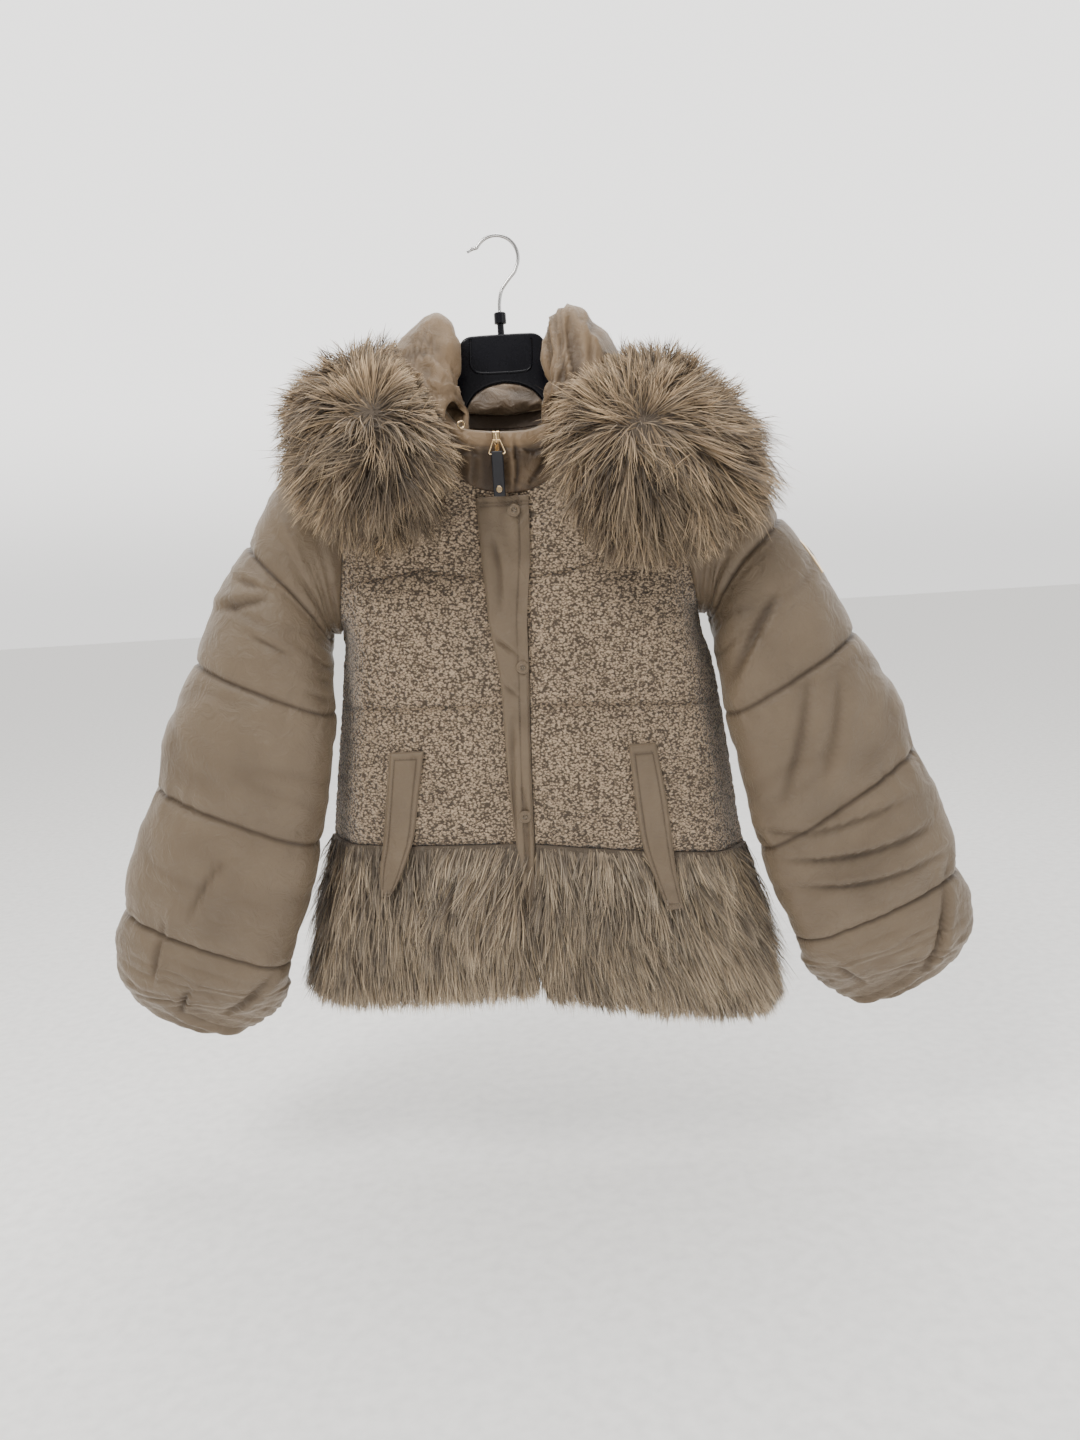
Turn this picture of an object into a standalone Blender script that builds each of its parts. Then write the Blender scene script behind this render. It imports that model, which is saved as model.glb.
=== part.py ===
"""Quilted short jacket with a fur hem and a fur-trimmed hood, hanging on a plastic hanger.

Axes: +Z up, the jacket's front faces -Y, +X is the right of somebody who looks at the front.
Origin: the inner top of the hanger's hook, where it hangs on a peg.
The tables are in millimetres; MM turns them into Blender's metres.  "left" and "right" are
those of somebody who looks at the front, and half widths are counted outwards from x = 0.
"""
import math

import bmesh
import bpy
import numpy as np
from mathutils import Matrix, Vector
from mathutils.bvhtree import BVHTree

MM = 0.001
GAP = 0.3               # clearance at the seams
SAME = 0.05             # lengths closer than this count as equal
SEAM_WALL = 3.0         # shell, padding and lining where a seam presses them together
LEFT, RIGHT = "left", "right"
SIGN = {LEFT: -1, RIGHT: 1}
OTHER = {LEFT: RIGHT, RIGHT: LEFT}

# --- the body: inside surface of the jacket -------------------------------------------------
BODY = (
    # z, half width left, half width right, depth to the front, depth to the back
    (-900, 262, 266, 75, 58),
    (-800, 252, 254, 77, 58),
    (-720, 239, 247, 77, 58),
    (-650, 224, 233, 76, 57),
    (-605, 218, 228, 75, 56),
    (-543, 209, 221, 73, 54),
    (-497, 202, 215, 71, 52),
    (-451, 196, 207, 70, 50),
    (-402, 190, 193, 68, 49),
    (-354, 183, 182, 67, 48),
    (-300, 176, 177, 66, 47),
    (-216, 172, 172, 64, 45),
    (-100, 168, 168, 60, 42),
)
BODY_POWER = 2.7        # squareness of the horizontal section
ARMPIT_Z = -402.0
SHOULDER_TIP = (172.0, -216.0)
NECK_SIDE = (84.0, -180.0)
NECK_FRONT_Z = -271.0
NECK_BACK_Z = -193.0
ROOF_DEPTH = 62.0       # how far under the shoulder line the body reaches its whole depth
ARMHOLE_LIP = 4.0       # the armhole's edge turns outwards
ARMHOLE_SWELL = 46.0    # the section runs on past the armhole, which leaves it standing open

# --- rows of stitching: heights where they meet the opening and the side --------------------
STITCHING = (
    # row, at the opening left, right, at the side left, right
    (0, -789, -797, -800, -850),
    (6, -638, -640, -633, -671),
    (12, -489, -490, -487, -504),
    (19, -354, -356, None, None),
    (28, NECK_FRONT_Z, NECK_FRONT_Z, None, None),
)
HEM_ROW, FUR_SEAM_ROW, ARMPIT_ROW, TOP_ROW = 0, 6, 16, 28
ARM_ROWS = TOP_ROW - ARMPIT_ROW
NECK_COLUMN, SIDE_COLUMN = 4, 8
BOUCLE_PUFF = 8.0
FUR_REACH, FUR_SIDE_REACH, FUR_TOP_REACH = 22.0, 17.0, 6.0

# --- the front opening -----------------------------------------------------------------------
PLACKET = (
    # z, attached edge, free edge, edge of the left front, edge of the right front, turned in
    (-271, -36, 19, -9, -8.7, 0.5),
    (-340, -34, 16, -7, -3.5, 0.5),
    (-375, -32, 12, -2.5, 4, 0.5),
    (-400, -31, 9.5, 3.4, 9.8, 0.5),
    (-430, -27, 8.5, 3.7, 8.9, 0.5),
    (-460, -23, 8, 3.4, 8.5, 10),
    (-510, -22, 6, 1.4, 6.5, 17),
    (-570, -21, 4, -0.6, 4.5, 20),
    (-637, -17, 3, -1.6, 3.5, 20),
    (-720, -12, 3, -1.6, 3.5, 20),
    (-800, -9, 3, -1.6, 3.5, 18),
    (-860, -8, 4, -0.6, 4.5, 18),
)
PLACKET_WALL = 3.2
PLACKET_GAP = 0.5
PLACKET_LIFT = 1.0
SNAPS = ((2.7, -288), (1.6, -450), (-5.5, -608))
SNAP_RADIUS, SNAP_HEIGHT = 6.5, 2.4

POCKETS = {
    # height, outer edge, inner edge of each slanted welt
    LEFT: ((-532, -145, -108), (-580, -152, -117), (-626, -159, -126), (-665, -165, -142),
           (-686, -165, -155)),
    RIGHT: ((-538, 137, 108), (-601, 146, 112), (-645, 150, 117), (-677, 152, 126),
            (-718, 158, 140)),
}
WELT_WALL = 4.0
WELT_GAP = 0.5          # under the pocket welts

# --- sleeves: silhouette at the rings, centre and half depth along y ------------------------
SLEEVES = {
    LEFT: (
        # ring, outer x, outer z, inner x, inner z, dip under the arm, centre y, half depth
        (1, 240, -243, 203, -372, -34, -5, 60),
        (2, 284, -307, 205, -384, -28, -9, 62),
        (3, 348, -426, 203, -489, 0, -27, 62),
        (4, 403, -556, 229, -627, 0, -32, 61),
        (5, 452, -691, 274, -759, 0, -32, 59),
        (6, 464, -748, 287, -795, 0, -32, 55),
        (7, 452, -798, 296, -818, 0, -31, 46),
        (8, 425, -823, 312, -833, 0, -30, 35),
        (9, 404, -836, 330, -841, 0, -30, 26),
        (10, 398, -822, 336, -827, 0, -30, 20),
    ),
    RIGHT: (
        (1, 240, -246, 206, -368, -40, -2, 60),
        (2, 287, -311, 209, -376, -38, -3, 62),
        (3, 361, -436, 218, -515, 0, -20, 62),
        (4, 423, -563, 248, -663, 0, -26, 61),
        (5, 467, -703, 285, -767, 0, -26, 59),
        (6, 481, -757, 300, -804, 0, -26, 55),
        (7, 468, -806, 314, -828, 0, -25, 46),
        (8, 440, -830, 332, -845, 0, -24, 35),
        (9, 416, -846, 344, -852, 0, -24, 26),
        (10, 410, -832, 350, -838, 0, -24, 20),
    ),
}
SLEEVE_RINGS = (1.5, *np.linspace(2, 5, 10), 5.5, 6, 7, 8, 9, 10)
SLEEVE_PUFF, SLEEVE_WALL, SLEEVE_POWER = 8.0, 8.0, 2.3
CUFF_INSET = ((1, 8, 0), (5, 8, 0), (6, 9, 3), (7, 9, 9), (8, 3, 13), (9, -2, 15), (10, 0, 7))
CUFF_PLEAT = 2.2
# long creases across each sleeve: ring, lift, over how many rings
CREASES = {
    LEFT: ((3.3, 1.6, 0.16), (4.72, 1.5, 0.14)),
    RIGHT: ((4.28, 3.0, 0.13), (4.52, 3.0, 0.13), (4.76, 2.4, 0.12)),
}
SLEEVE_LEAN = ((1, 0), (2, 8), (3, 30), (5, 30), (6, 12), (7, 0), (10, 0))  # inner edge forward

# --- collar and hood --------------------------------------------------------------------------
COLLAR_TOP = (
    # angle from the front, half width, y, z of the collar's upper edge
    (0, 0, -71, -209),
    (28, 36, -69, -205),
    (48, 53, -63, -193),
    (66, 66, -52, -174),
    (85, 78, -34, -160),
    (105, 82, -8, -154),
    (130, 74, 22, -156),
    (155, 44, 42, -160),
    (180, 0, 50, -162),
)
COLLAR_PAD = 6.0
COLLAR_ROWS = 5
COLLAR_RUFFLE = 1.3
# the laid-back hood in sections from the inside of the collar to the rim under the fur:
# after the angle round the neck come half width, y and z of five places of each section
HOOD = (
    # angle, up the flap,    before the crest,  after the crest,   outwards,         rim
    (34, (38, -62, -190), (42, -65, -180), (51, -72, -175), (59, -79, -183), (62, -84, -199)),
    (47, (46, -58, -175), (51, -61, -158), (61, -66, -152), (73, -71, -161), (81, -76, -180)),
    (60, (50, -53, -160), (55, -56, -136), (68, -58, -128), (84, -60, -138), (100, -62, -162)),
    (72, (45, -48, -140), (51, -46, -105), (68, -45, -92), (88, -48, -105), (106, -57, -138)),
    (88, (54, -24, -128), (60, -21, -92), (74, -19, -83), (100, -21, -100), (126, -25, -140)),
    (108, (66, 8, -122), (72, 10, -96), (90, 12, -94), (114, 14, -116), (138, 16, -150)),
    (130, (68, 34, -134), (80, 44, -122), (100, 54, -132), (122, 62, -150), (140, 70, -166)),
    (146, (54, 44, -140), (70, 62, -148), (86, 76, -185), (106, 92, -212), (124, 102, -208)),
    (163, (32, 54, -143), (40, 70, -165), (56, 76, -300), (74, 112, -300), (78, 120, -240)),
    (180, (0, 58, -144), (0, 72, -170), (0, 76, -384), (0, 122, -352), (0, 120, -242)),
)
HOOD_WALL = 5.0
HOOD_CLEAR = 3.2
HOOD_SEAT_ROWS = (2, 4)     # rows of the collar that the hood lies against
HOOD_CREST = 3          # point of each section just before the crest
HOOD_STEPS = 2          # columns between two neighbouring sections

# --- fur along the rim of the hood: from the chest over the shoulder to the centre back -----
FUR_TRIMS = {
    LEFT: (
        # half width from x = 0, y, z, half width of the fur, half thickness
        (122, -100, -300, 34, 14),
        (128, -104, -272, 66, 30),
        (134, -98, -238, 86, 42),
        (139, -76, -200, 93, 50),
        (142, -36, -168, 90, 52),
        (140, 14, -162, 70, 46),
        (122, 62, -176, 54, 40),
        (84, 104, -198, 46, 35),
        (40, 124, -212, 43, 31),
        (0, 129, -216, 42, 30),
    ),
    RIGHT: (
        (148, -98, -328, 50, 14),
        (150, -104, -302, 88, 30),
        (154, -98, -270, 112, 42),
        (159, -78, -232, 120, 50),
        (162, -38, -198, 108, 52),
        (156, 14, -180, 74, 46),
        (130, 62, -184, 54, 40),
        (86, 104, -200, 46, 35),
        (40, 124, -212, 43, 31),
        (0, 129, -216, 42, 30),
    ),
}
FUR_COLUMNS = 12
FUR_SEAT = 0.6          # the fur keeps this far from the cloth it lies on
CORE_OVERLAP = 6.0
RIM_RADIUS = 4.2        # of the room along the hood's rim
RIM_SIDES = 6

# --- hanger, zip pull, badge ------------------------------------------------------------------
WIRE_RADIUS = 1.9
HOOK_RADIUS = 23.0      # to the middle of the wire
HOOK_STEM = ((0, -76.6), (0.4, -66), (3.5, -54), (11, -44), (18.5, -36))    # x, z
HOOK_TIP = (-30.5, -13.5)
SIZE_RING = ((3.6, -99.2), (3.6, -89), (6.5, -88), (6.5, -78), (5.9, -77), (2.2, -77))
HANGER_THICK = 14.0
HANGER_Y = -1.0
HANGER_TOP = ((0, -99.6), (24, -99.8), (37, -101), (45, -108), (52, -124), (50, -150), (56, -168), (68, -184))
HANGER_BOTTOM = ((66, -208), (46, -182), (34, -162), (18, -153))
HANGER_ARCH = (0, -150)     # middle of the lower edge
HANGER_END_X = 152.0
HANGER_ROUND = 2.5
HANGER_SEAT = 2.6       # arms under the shoulder line
ARM_HEIGHT = 24.0
SLIDER = (-10.5, -215.0)
SLIDER_SIZE = (8.0, 4.0, 12.0)
BAIL = ((1.1, 5), (3.0, 4.2), (3.6, 1), (3.6, -3), (3.0, -5), (1.1, -5.8))   # away, up
BAIL_WIRE = 0.8
RING_LENGTH, RING_WIDTH, RING_WIRE = 14.0, 16.4, 0.9
TAB_WIDTH, TAB_LENGTH, TAB_THICK = 12.0, 45.0, 3.6
RIVET_RADIUS, RIVET_HEIGHT, RIVET_UP = 3.2, 1.2, 7.0
SLIDER_GAP, SLIDER_ROUND = 0.4, 0.8
PULL_AXIS = (1.5, -2.5)     # where the ring swings: away from the slider's face, up from its middle
RING_NECK = 3.2             # half width of the ring at the bail
RING_CORNER = (0.8, 1.2)    # how much each lower corner of the ring is cut, across and up
TAB_OVERLAP = 2.6           # the tab reaches this far above the ring's lower wire
TAB_HOLE, TAB_ROUND = 1.25, 0.9
BADGE_THICK, BADGE_GAP = 1.4, 0.9
BADGE_PLACE = (4.15, 1.6)   # first ring and middle column of the right sleeve's grid
BADGE_SPAN = (1.4, 0.25)    # rings down the sleeve, and columns to each side of the middle


# === curves and small mathematics ============================================================

def curve(table, column, at):
    """A column of a table as a smooth curve over its first column, without overshoot."""
    rows = sorted(row for row in table if row[column] is not None)
    x = np.array([row[0] for row in rows], float)
    y = np.array([row[column] for row in rows], float)
    step = np.diff(y) / np.diff(x)
    slope = np.concatenate([step[:1], (step[:-1] + step[1:]) / 2, step[-1:]])
    slope[1:-1][step[:-1] * step[1:] <= 0] = 0
    at = np.clip(np.asarray(at, float), x[0], x[-1])
    i = np.clip(np.searchsorted(x, at) - 1, 0, len(x) - 2)
    h = x[i + 1] - x[i]
    t = (at - x[i]) / h
    return ((2 * t**3 - 3 * t**2 + 1) * y[i] + (t**3 - 2 * t**2 + t) * h * slope[i]
            + (3 * t**2 - 2 * t**3) * y[i + 1] + (t**3 - t**2) * h * slope[i + 1])


def through(points, count):
    """A smooth run of points through given ones, with count steps between two of them."""
    points = np.asarray(points, float)
    table = [(i, *p) for i, p in enumerate(points.reshape(len(points), -1))]
    at = np.linspace(0, len(points) - 1, (len(points) - 1) * count + 1)
    run = np.stack([curve(table, c + 1, at) for c in range(len(table[0]) - 1)], -1)
    return run.reshape(len(at), *points.shape[1:])


def unit(v):
    return v / np.maximum(np.linalg.norm(v, axis=-1, keepdims=True), 1e-9)


def normals(grid, closed=False):
    """Unit normals of a grid: up its rows crossed with the run of its columns."""
    across = (np.roll(grid, -1, 1) - np.roll(grid, 1, 1)) if closed else np.gradient(grid, axis=1)
    return unit(np.cross(np.gradient(grid, axis=0), across))


def puff(t, power=0.6):
    """Rise and fall of padding between two seams, for t from 0 to 1."""
    return np.sin(math.pi * np.clip(t, 0, 1)) ** power


# === meshes ====================================================================================

def finish(name, colour, roughness, metallic=0.0):
    made = bpy.data.materials.new(name)
    made.use_nodes = True
    shader = made.node_tree.nodes["Principled BSDF"]
    shader.inputs["Base Color"].default_value = (*colour, 1)
    shader.inputs["Roughness"].default_value = roughness
    shader.inputs["Metallic"].default_value = metallic
    return made


def piece(name, points, faces, look, owner=None):
    """A named object from points in millimetres."""
    mesh = bpy.data.meshes.new(name)
    mesh.from_pydata((np.asarray(points) * MM).tolist(), [], faces)
    work = bmesh.new()
    work.from_mesh(mesh)
    bmesh.ops.recalc_face_normals(work, faces=work.faces)
    work.to_mesh(mesh)
    work.free()
    mesh.shade_smooth()
    mesh.set_sharp_from_angle(angle=math.radians(50))
    obj = bpy.data.objects.new(name, mesh)
    obj.data.materials.append(look)
    (owner or JACKET).objects.link(obj)
    return obj


def halves(a, b, c, d):
    """A four-cornered face as two triangles, always along the same diagonal."""
    return [(a, b, c), (a, c, d)]


def skin(points, start=0, closed=False):
    """Faces over a grid of points, numbered row by row from start; each cell is cut along
    its shorter diagonal."""
    rows, columns = points.shape[:2]
    right = np.roll(points, -1, 1)
    rising = np.linalg.norm(right[1:] - points[:-1], axis=-1)
    falling = np.linalg.norm(points[1:] - right[:-1], axis=-1)
    faces = []
    for r in range(rows - 1):
        low, high = start + r * columns, start + (r + 1) * columns
        for c in range(columns if closed else columns - 1):
            d = (c + 1) % columns
            corners = (low + c, low + d, high + d, high + c)
            if falling[r, c] < rising[r, c] - SAME:
                corners = corners[1:] + corners[:1]
            faces += halves(*corners)
    return faces


def wall(name, inside, outside, look, closed=False, owner=None):
    """A cloth wall between two grids of the same size: a panel, or a tube if closed."""
    rows, columns = inside.shape[:2]
    count = rows * columns
    top = (rows - 1) * columns
    faces = skin(inside, 0, closed) + skin(outside, count, closed)
    for c in range(columns if closed else columns - 1):
        d = (c + 1) % columns
        for edge in (0, top):
            faces += halves(edge + c, edge + d, count + edge + d, count + edge + c)
    if not closed:
        for a in range(0, top, columns):
            for edge in (a, a + columns - 1):
                faces += halves(edge, edge + columns, count + edge + columns, count + edge)
    GRIDS[name] = (inside, outside, closed)
    return piece(name, np.concatenate([inside.reshape(-1, 3), outside.reshape(-1, 3)]), faces, look, owner)


def lump(name, rings, look, owner=None):
    """A closed form through rings of equal count, with a face over each end."""
    rows, columns = rings.shape[:2]
    last = (rows - 1) * columns
    faces = skin(rings, 0, True) + [tuple(range(columns)), tuple(range(last, last + columns))]
    return piece(name, rings.reshape(-1, 3), faces, look, owner)


def hide(cutter):
    cutter.hide_render = True
    cutter.display_type = "WIRE"


def cut(obj, cutter):
    modifier = obj.modifiers.new("less_" + cutter.name, "BOOLEAN")
    modifier.operation = "DIFFERENCE"
    modifier.solver = "EXACT"
    modifier.object = cutter


def adopt(obj, look):
    """Takes an object that an operator made into the jacket's collection."""
    for owner in list(obj.users_collection):
        owner.objects.unlink(obj)
    JACKET.objects.link(obj)
    obj.data.materials.append(look)
    obj.data.shade_smooth()
    obj.data.set_sharp_from_angle(angle=math.radians(40))
    return obj


def wire(name, points, radius, look, cyclic=False):
    data = bpy.data.curves.new(name, "CURVE")
    data.dimensions = "3D"
    spline = data.splines.new("POLY")
    spline.points.add(len(points) - 1)
    for knot, place in zip(spline.points, points):
        knot.co = (*(Vector(place) * MM), 1)
    spline.use_cyclic_u = cyclic
    data.bevel_depth = radius * MM
    data.bevel_resolution = 2
    data.use_fill_caps = not cyclic
    data.materials.append(look)
    obj = bpy.data.objects.new(name, data)
    JACKET.objects.link(obj)
    return obj


def soften(obj, width, segments=1):
    modifier = obj.modifiers.new("soft_edges", "BEVEL")
    modifier.width = width * MM
    modifier.segments = segments
    modifier.limit_method = "ANGLE"
    modifier.angle_limit = math.radians(40)


def button(name, place, normal, radius, height, look):
    """A low round cap that stands on a place, along a normal."""
    bpy.ops.mesh.primitive_cylinder_add(vertices=18, radius=radius * MM, depth=height * MM)
    obj = adopt(bpy.context.object, look)
    obj.name = name
    normal = Vector(normal).normalized()
    centre = (Vector(place) + normal * height / 2) * MM
    obj.matrix_world = Matrix.Translation(centre) @ normal.to_track_quat("Z", "Y").to_matrix().to_4x4()
    soften(obj, height * 0.35)
    return obj


def block(name, size, place, turn, look, edge):
    """A box of a size in millimetres, turned by a matrix, with soft edges."""
    bpy.ops.mesh.primitive_cube_add(size=1)
    obj = adopt(bpy.context.object, look)
    obj.name = name
    obj.data.transform(Matrix.Diagonal((*(Vector(size) * MM), 1)))
    obj.matrix_world = Matrix.Translation(Vector(place) * MM) @ turn
    soften(obj, edge)
    return obj


# === the body ==================================================================================

def roof_z(x):
    """Height of the shoulder line at a half width; it runs on towards the neck's middle."""
    slope = (SHOULDER_TIP[1] - NECK_SIDE[1]) / (SHOULDER_TIP[0] - NECK_SIDE[0])
    x = np.abs(x)
    return NECK_SIDE[1] + np.where(x > NECK_SIDE[0], (x - NECK_SIDE[0]) * slope, (NECK_SIDE[0] - x) * 0.25)


def half_width(side, z):
    return curve(BODY, 1 if side == LEFT else 2, z)


def depth(side, x, z, back=False):
    """Distance of the plain body from the plane of the side seams."""
    arm = np.clip((z - ARMPIT_Z) / (SHOULDER_TIP[1] - ARMPIT_Z), 0, 1)
    swell = ARMHOLE_SWELL * np.sin(math.pi * arm / 2) ** 0.7
    ratio = np.clip(np.abs(x) / (half_width(side, z) + swell), 0, 1)
    section = (1 - ratio**BODY_POWER) ** (1 / BODY_POWER)
    under = np.clip((roof_z(x) - z) / ROOF_DEPTH, 0, 1)
    return curve(BODY, 4 if back else 3, z) * section * np.sqrt(1 - (1 - under) ** 2)


def row_heights(side, back):
    """Heights of all grid rows, at the centre and at the side edge."""
    rows = np.arange(TOP_ROW + 1)
    left, right = (curve(STITCHING, column, rows) for column in (1, 2))
    centre = (left + right) / 2 if back else (left if side == LEFT else right)
    if back:
        rise = NECK_BACK_Z - NECK_FRONT_Z
        centre = centre + rise * np.clip((rows - 12) / (TOP_ROW - 12), 0, 1) ** 1.5
    low = [row for row in STITCHING if row[3] is not None] + [(ARMPIT_ROW, 0, 0, ARMPIT_Z, ARMPIT_Z)]
    edge = curve(low, 3 if side == LEFT else 4, rows)
    arm = np.linspace(ARMPIT_Z, SHOULDER_TIP[1], ARM_ROWS + 1)
    edge[ARMPIT_ROW:] = arm
    return centre, edge


def body_grid(side, back=False):
    """Inside surface of half the body: rows upwards, columns from the centre to the side.

    The rows run straight from the opening, or the centre back, to the side.  Above the armpit
    they are drawn up step by step to the neckline and the shoulder seam.
    """
    sign = SIGN[side]
    centre_z, edge_z = row_heights(side, back)
    rows = len(centre_z)
    columns = np.arange(SIDE_COLUMN + 1)
    edge_x = half_width(side, edge_z) * sign
    edge_x[ARMPIT_ROW:] += ARMHOLE_LIP * sign
    if back:
        start = np.zeros(rows)
        second = edge_x / SIDE_COLUMN
    else:
        start = curve(PLACKET, 3, centre_z) if side == LEFT else curve(PLACKET, 4, centre_z)
        second = curve(PLACKET, 1, centre_z) - GAP if side == LEFT else curve(PLACKET, 2, centre_z) + GAP
        second = np.where((second - start) * sign < 4, start + 4 * sign, second)
    v = (columns - 1) / (SIDE_COLUMN - 1)
    x = second[:, None] + (edge_x - second)[:, None] * v
    x[:, 0] = start
    z = centre_z[:, None] + (edge_z - centre_z)[:, None] * ((x - start[:, None]) / (edge_x - start)[:, None])
    neck_z = NECK_BACK_Z if back else NECK_FRONT_Z
    reach = np.abs(np.array([start[-1], second[-1]])) if back else np.array([start[-1], second[-1]]) * sign
    first = math.asin(reach[1] / NECK_SIDE[0])
    turn = first + (math.pi / 2 - first) * (columns - 1) / (NECK_COLUMN - 1)
    top_x = np.where(columns <= NECK_COLUMN, NECK_SIDE[0] * np.sin(turn),
                     NECK_SIDE[0] + (SHOULDER_TIP[0] - NECK_SIDE[0])
                     * (columns - NECK_COLUMN) / (SIDE_COLUMN - NECK_COLUMN))
    top_x[0] = reach[0]
    bow = np.sqrt(np.clip(1 - (top_x / NECK_SIDE[0]) ** 2, 0, 1))
    top_z = np.where(columns <= NECK_COLUMN, NECK_SIDE[1] + (neck_z - NECK_SIDE[1]) * bow, roof_z(top_x))
    lift = np.clip((np.arange(rows) - ARMPIT_ROW) / ARM_ROWS, 0, 1)[:, None] ** 1.25
    x = x + lift * (top_x * sign - x[-1])
    z = z + lift * (top_z - z[-1])
    y = np.maximum(depth(side, x, z, back), GAP / 2)
    y[:ARMPIT_ROW + 1, -1] = GAP / 2
    y[-1, NECK_COLUMN:] = GAP / 2
    return np.stack([x, y if back else -y, z], -1)


def body_normals(grid, side, back=False):
    """Outward directions; on the seams they keep to the plane that both neighbours share."""
    sign = SIGN[side]
    x, z, step = grid[..., 0], grid[..., 2], 1.0
    fall_x = (depth(side, x + step, z, back) - depth(side, x - step, z, back)) / (2 * step)
    fall_z = (depth(side, x, z + step, back) - depth(side, x, z - step, back)) / (2 * step)
    out = unit(np.stack([-fall_x, np.full_like(x, 1.0 if back else -1.0), -fall_z], -1))
    out[:ARMPIT_ROW, -1] = (sign, 0, 0)
    out[ARMPIT_ROW - 1, -1] = unit(np.array((sign, 0, -1.0)))
    arm = grid[ARMPIT_ROW:, -1]
    middle = (arm[0] + arm[-1]) / 2
    round_arm = (arm - middle) * np.array((0, 1.6, 1.0))
    round_arm[0] = (sign * 0.5, 0, -0.87)
    round_arm[-1] = (0, 0, 1)
    out[ARMPIT_ROW:, -1] = unit(round_arm)
    slope = (SHOULDER_TIP[1] - NECK_SIDE[1]) / (SHOULDER_TIP[0] - NECK_SIDE[0])
    out[-1, NECK_COLUMN:-1] = unit(np.array((-slope * sign, 0, 1.0)))
    return out


def padding(side, first, last, back=False):
    """Thickness of the wall over the grid: boucle between its seams, or fur that flares."""
    rows = np.arange(first, last + 1)[:, None].astype(float)
    columns = np.arange(SIDE_COLUMN + 1)[None, :]
    seams = [row[0] for row in STITCHING if row[0] >= FUR_SEAM_ROW]
    swell = np.zeros_like(rows)
    for low, high in zip(seams, seams[1:]):
        inside = (rows > low) & (rows < high)
        share = (rows - low) / (high - low)
        calm = np.clip((1 - share) * 2.5, 0, 1) if high == TOP_ROW else 1.0
        swell = np.where(inside, puff(share) * calm, swell)
    edge = np.where(columns <= 1, 0.0, 1.0) if not back else np.ones_like(columns, float)
    side_fade = np.where(columns == SIDE_COLUMN, 0.0, np.where(columns == SIDE_COLUMN - 1, 0.7, 1.0))
    if last <= FUR_SEAM_ROW:
        flare = np.clip((FUR_SEAM_ROW - rows) / (FUR_SEAM_ROW - HEM_ROW), 0, 1) ** 0.55
        reach = FUR_TOP_REACH + (FUR_REACH - FUR_TOP_REACH) * flare
        reach = reach + (FUR_SIDE_REACH - FUR_REACH) * flare * (columns / SIDE_COLUMN) ** 2
        return SEAM_WALL + reach * edge
    return SEAM_WALL + BOUCLE_PUFF * swell * edge * side_fade


def mirror_back(left, right):
    """One grid across the back from its left to its right half, without a double centre."""
    return np.concatenate([left[:, ::-1], right[:, 1:]], axis=1)


def make_body():
    """Fronts, back and hem; returns inside and outside grids for what is sewn on them."""
    shells = {}
    for side in (LEFT, RIGHT):
        for back in (False, True):
            inside = body_grid(side, back)
            out = body_normals(inside, side, back)
            if back:
                out[:, 0, 0] = 0
            shells[side, back] = inside, unit(out)
    outer = {}
    for first, last, name, look in ((FUR_SEAM_ROW, TOP_ROW, "", BOUCLE),
                                    (HEM_ROW, FUR_SEAM_ROW, "hem_", FUR)):
        cut_rows = slice(first, last + 1)
        backs = []
        for side in (LEFT, RIGHT):
            for back in (False, True):
                inside, out = (grid[cut_rows] for grid in shells[side, back])
                if name:
                    inside = inside.copy()
                    inside[-1, :, 2] -= GAP
                outside = inside + out * padding(side, first, last, back)[..., None]
                outer[side, back, name] = inside, outside
                if back:
                    backs.append((inside, outside))
                else:
                    wall(f"{name}front_{side}", inside, outside, look)
        inside, outside = (mirror_back(backs[0][which], backs[1][which]) for which in (0, 1))
        wall(f"{name}back", inside, outside, look)
    return outer


# === sleeves ===================================================================================

def armhole_ring(outer, side, which):
    """The loop of points on the armhole: shoulder, front, armpit, back."""
    front = outer[side, False, ""][which][ARMPIT_ROW - FUR_SEAM_ROW:, -1]
    back = outer[side, True, ""][which][ARMPIT_ROW - FUR_SEAM_ROW:, -1]
    ring = np.concatenate([front[::-1], back[1:-1]])
    ring[0, 1] = 0
    ring[ARM_ROWS, 1] = 0
    return ring + np.array((SIGN[side] * GAP, 0, 0))


def sleeve_ring(side, t, swell=0.0, inset=0.0, raised=0.0, pleat=0.0):
    """A ring of the sleeve at a place of its table: an oval between outer and inner edge."""
    outer_x, outer_z, inner_x, inner_z, dip, middle, deep = (curve(SLEEVES[side], c, t) for c in range(1, 8))
    turn = np.arange(2 * ARM_ROWS) * math.pi / ARM_ROWS
    cos, sin = np.cos(turn), np.sin(turn)
    round_x = np.sign(cos) * np.abs(cos) ** (2 / SLEEVE_POWER)
    round_y = np.sign(sin) * np.abs(sin) ** (2 / SLEEVE_POWER)
    inner_share = (1 - cos) / 2
    long = math.hypot(outer_x - inner_x, outer_z - inner_z) / 2
    zigzag = pleat * np.where(np.arange(len(turn)) % 2 == 0, 1, -1)
    grow = swell * (1 - 0.85 * inner_share**3) - inset + zigzag
    along = (long + grow) / long * round_x
    x = (outer_x + inner_x) / 2 + (outer_x - inner_x) / 2 * along
    z = (outer_z + inner_z) / 2 + (outer_z - inner_z) / 2 * along + dip * inner_share**5 + raised
    y = middle - (deep + grow) * round_y - curve(SLEEVE_LEAN, 1, t) * inner_share**2
    return np.stack([x * SIGN[side], y, z], -1)


def crease(side, t):
    """Rise of the long creases that cross a sleeve."""
    return sum(lift * math.exp(-((t - at) / width) ** 2) for at, lift, width in CREASES[side])


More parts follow.
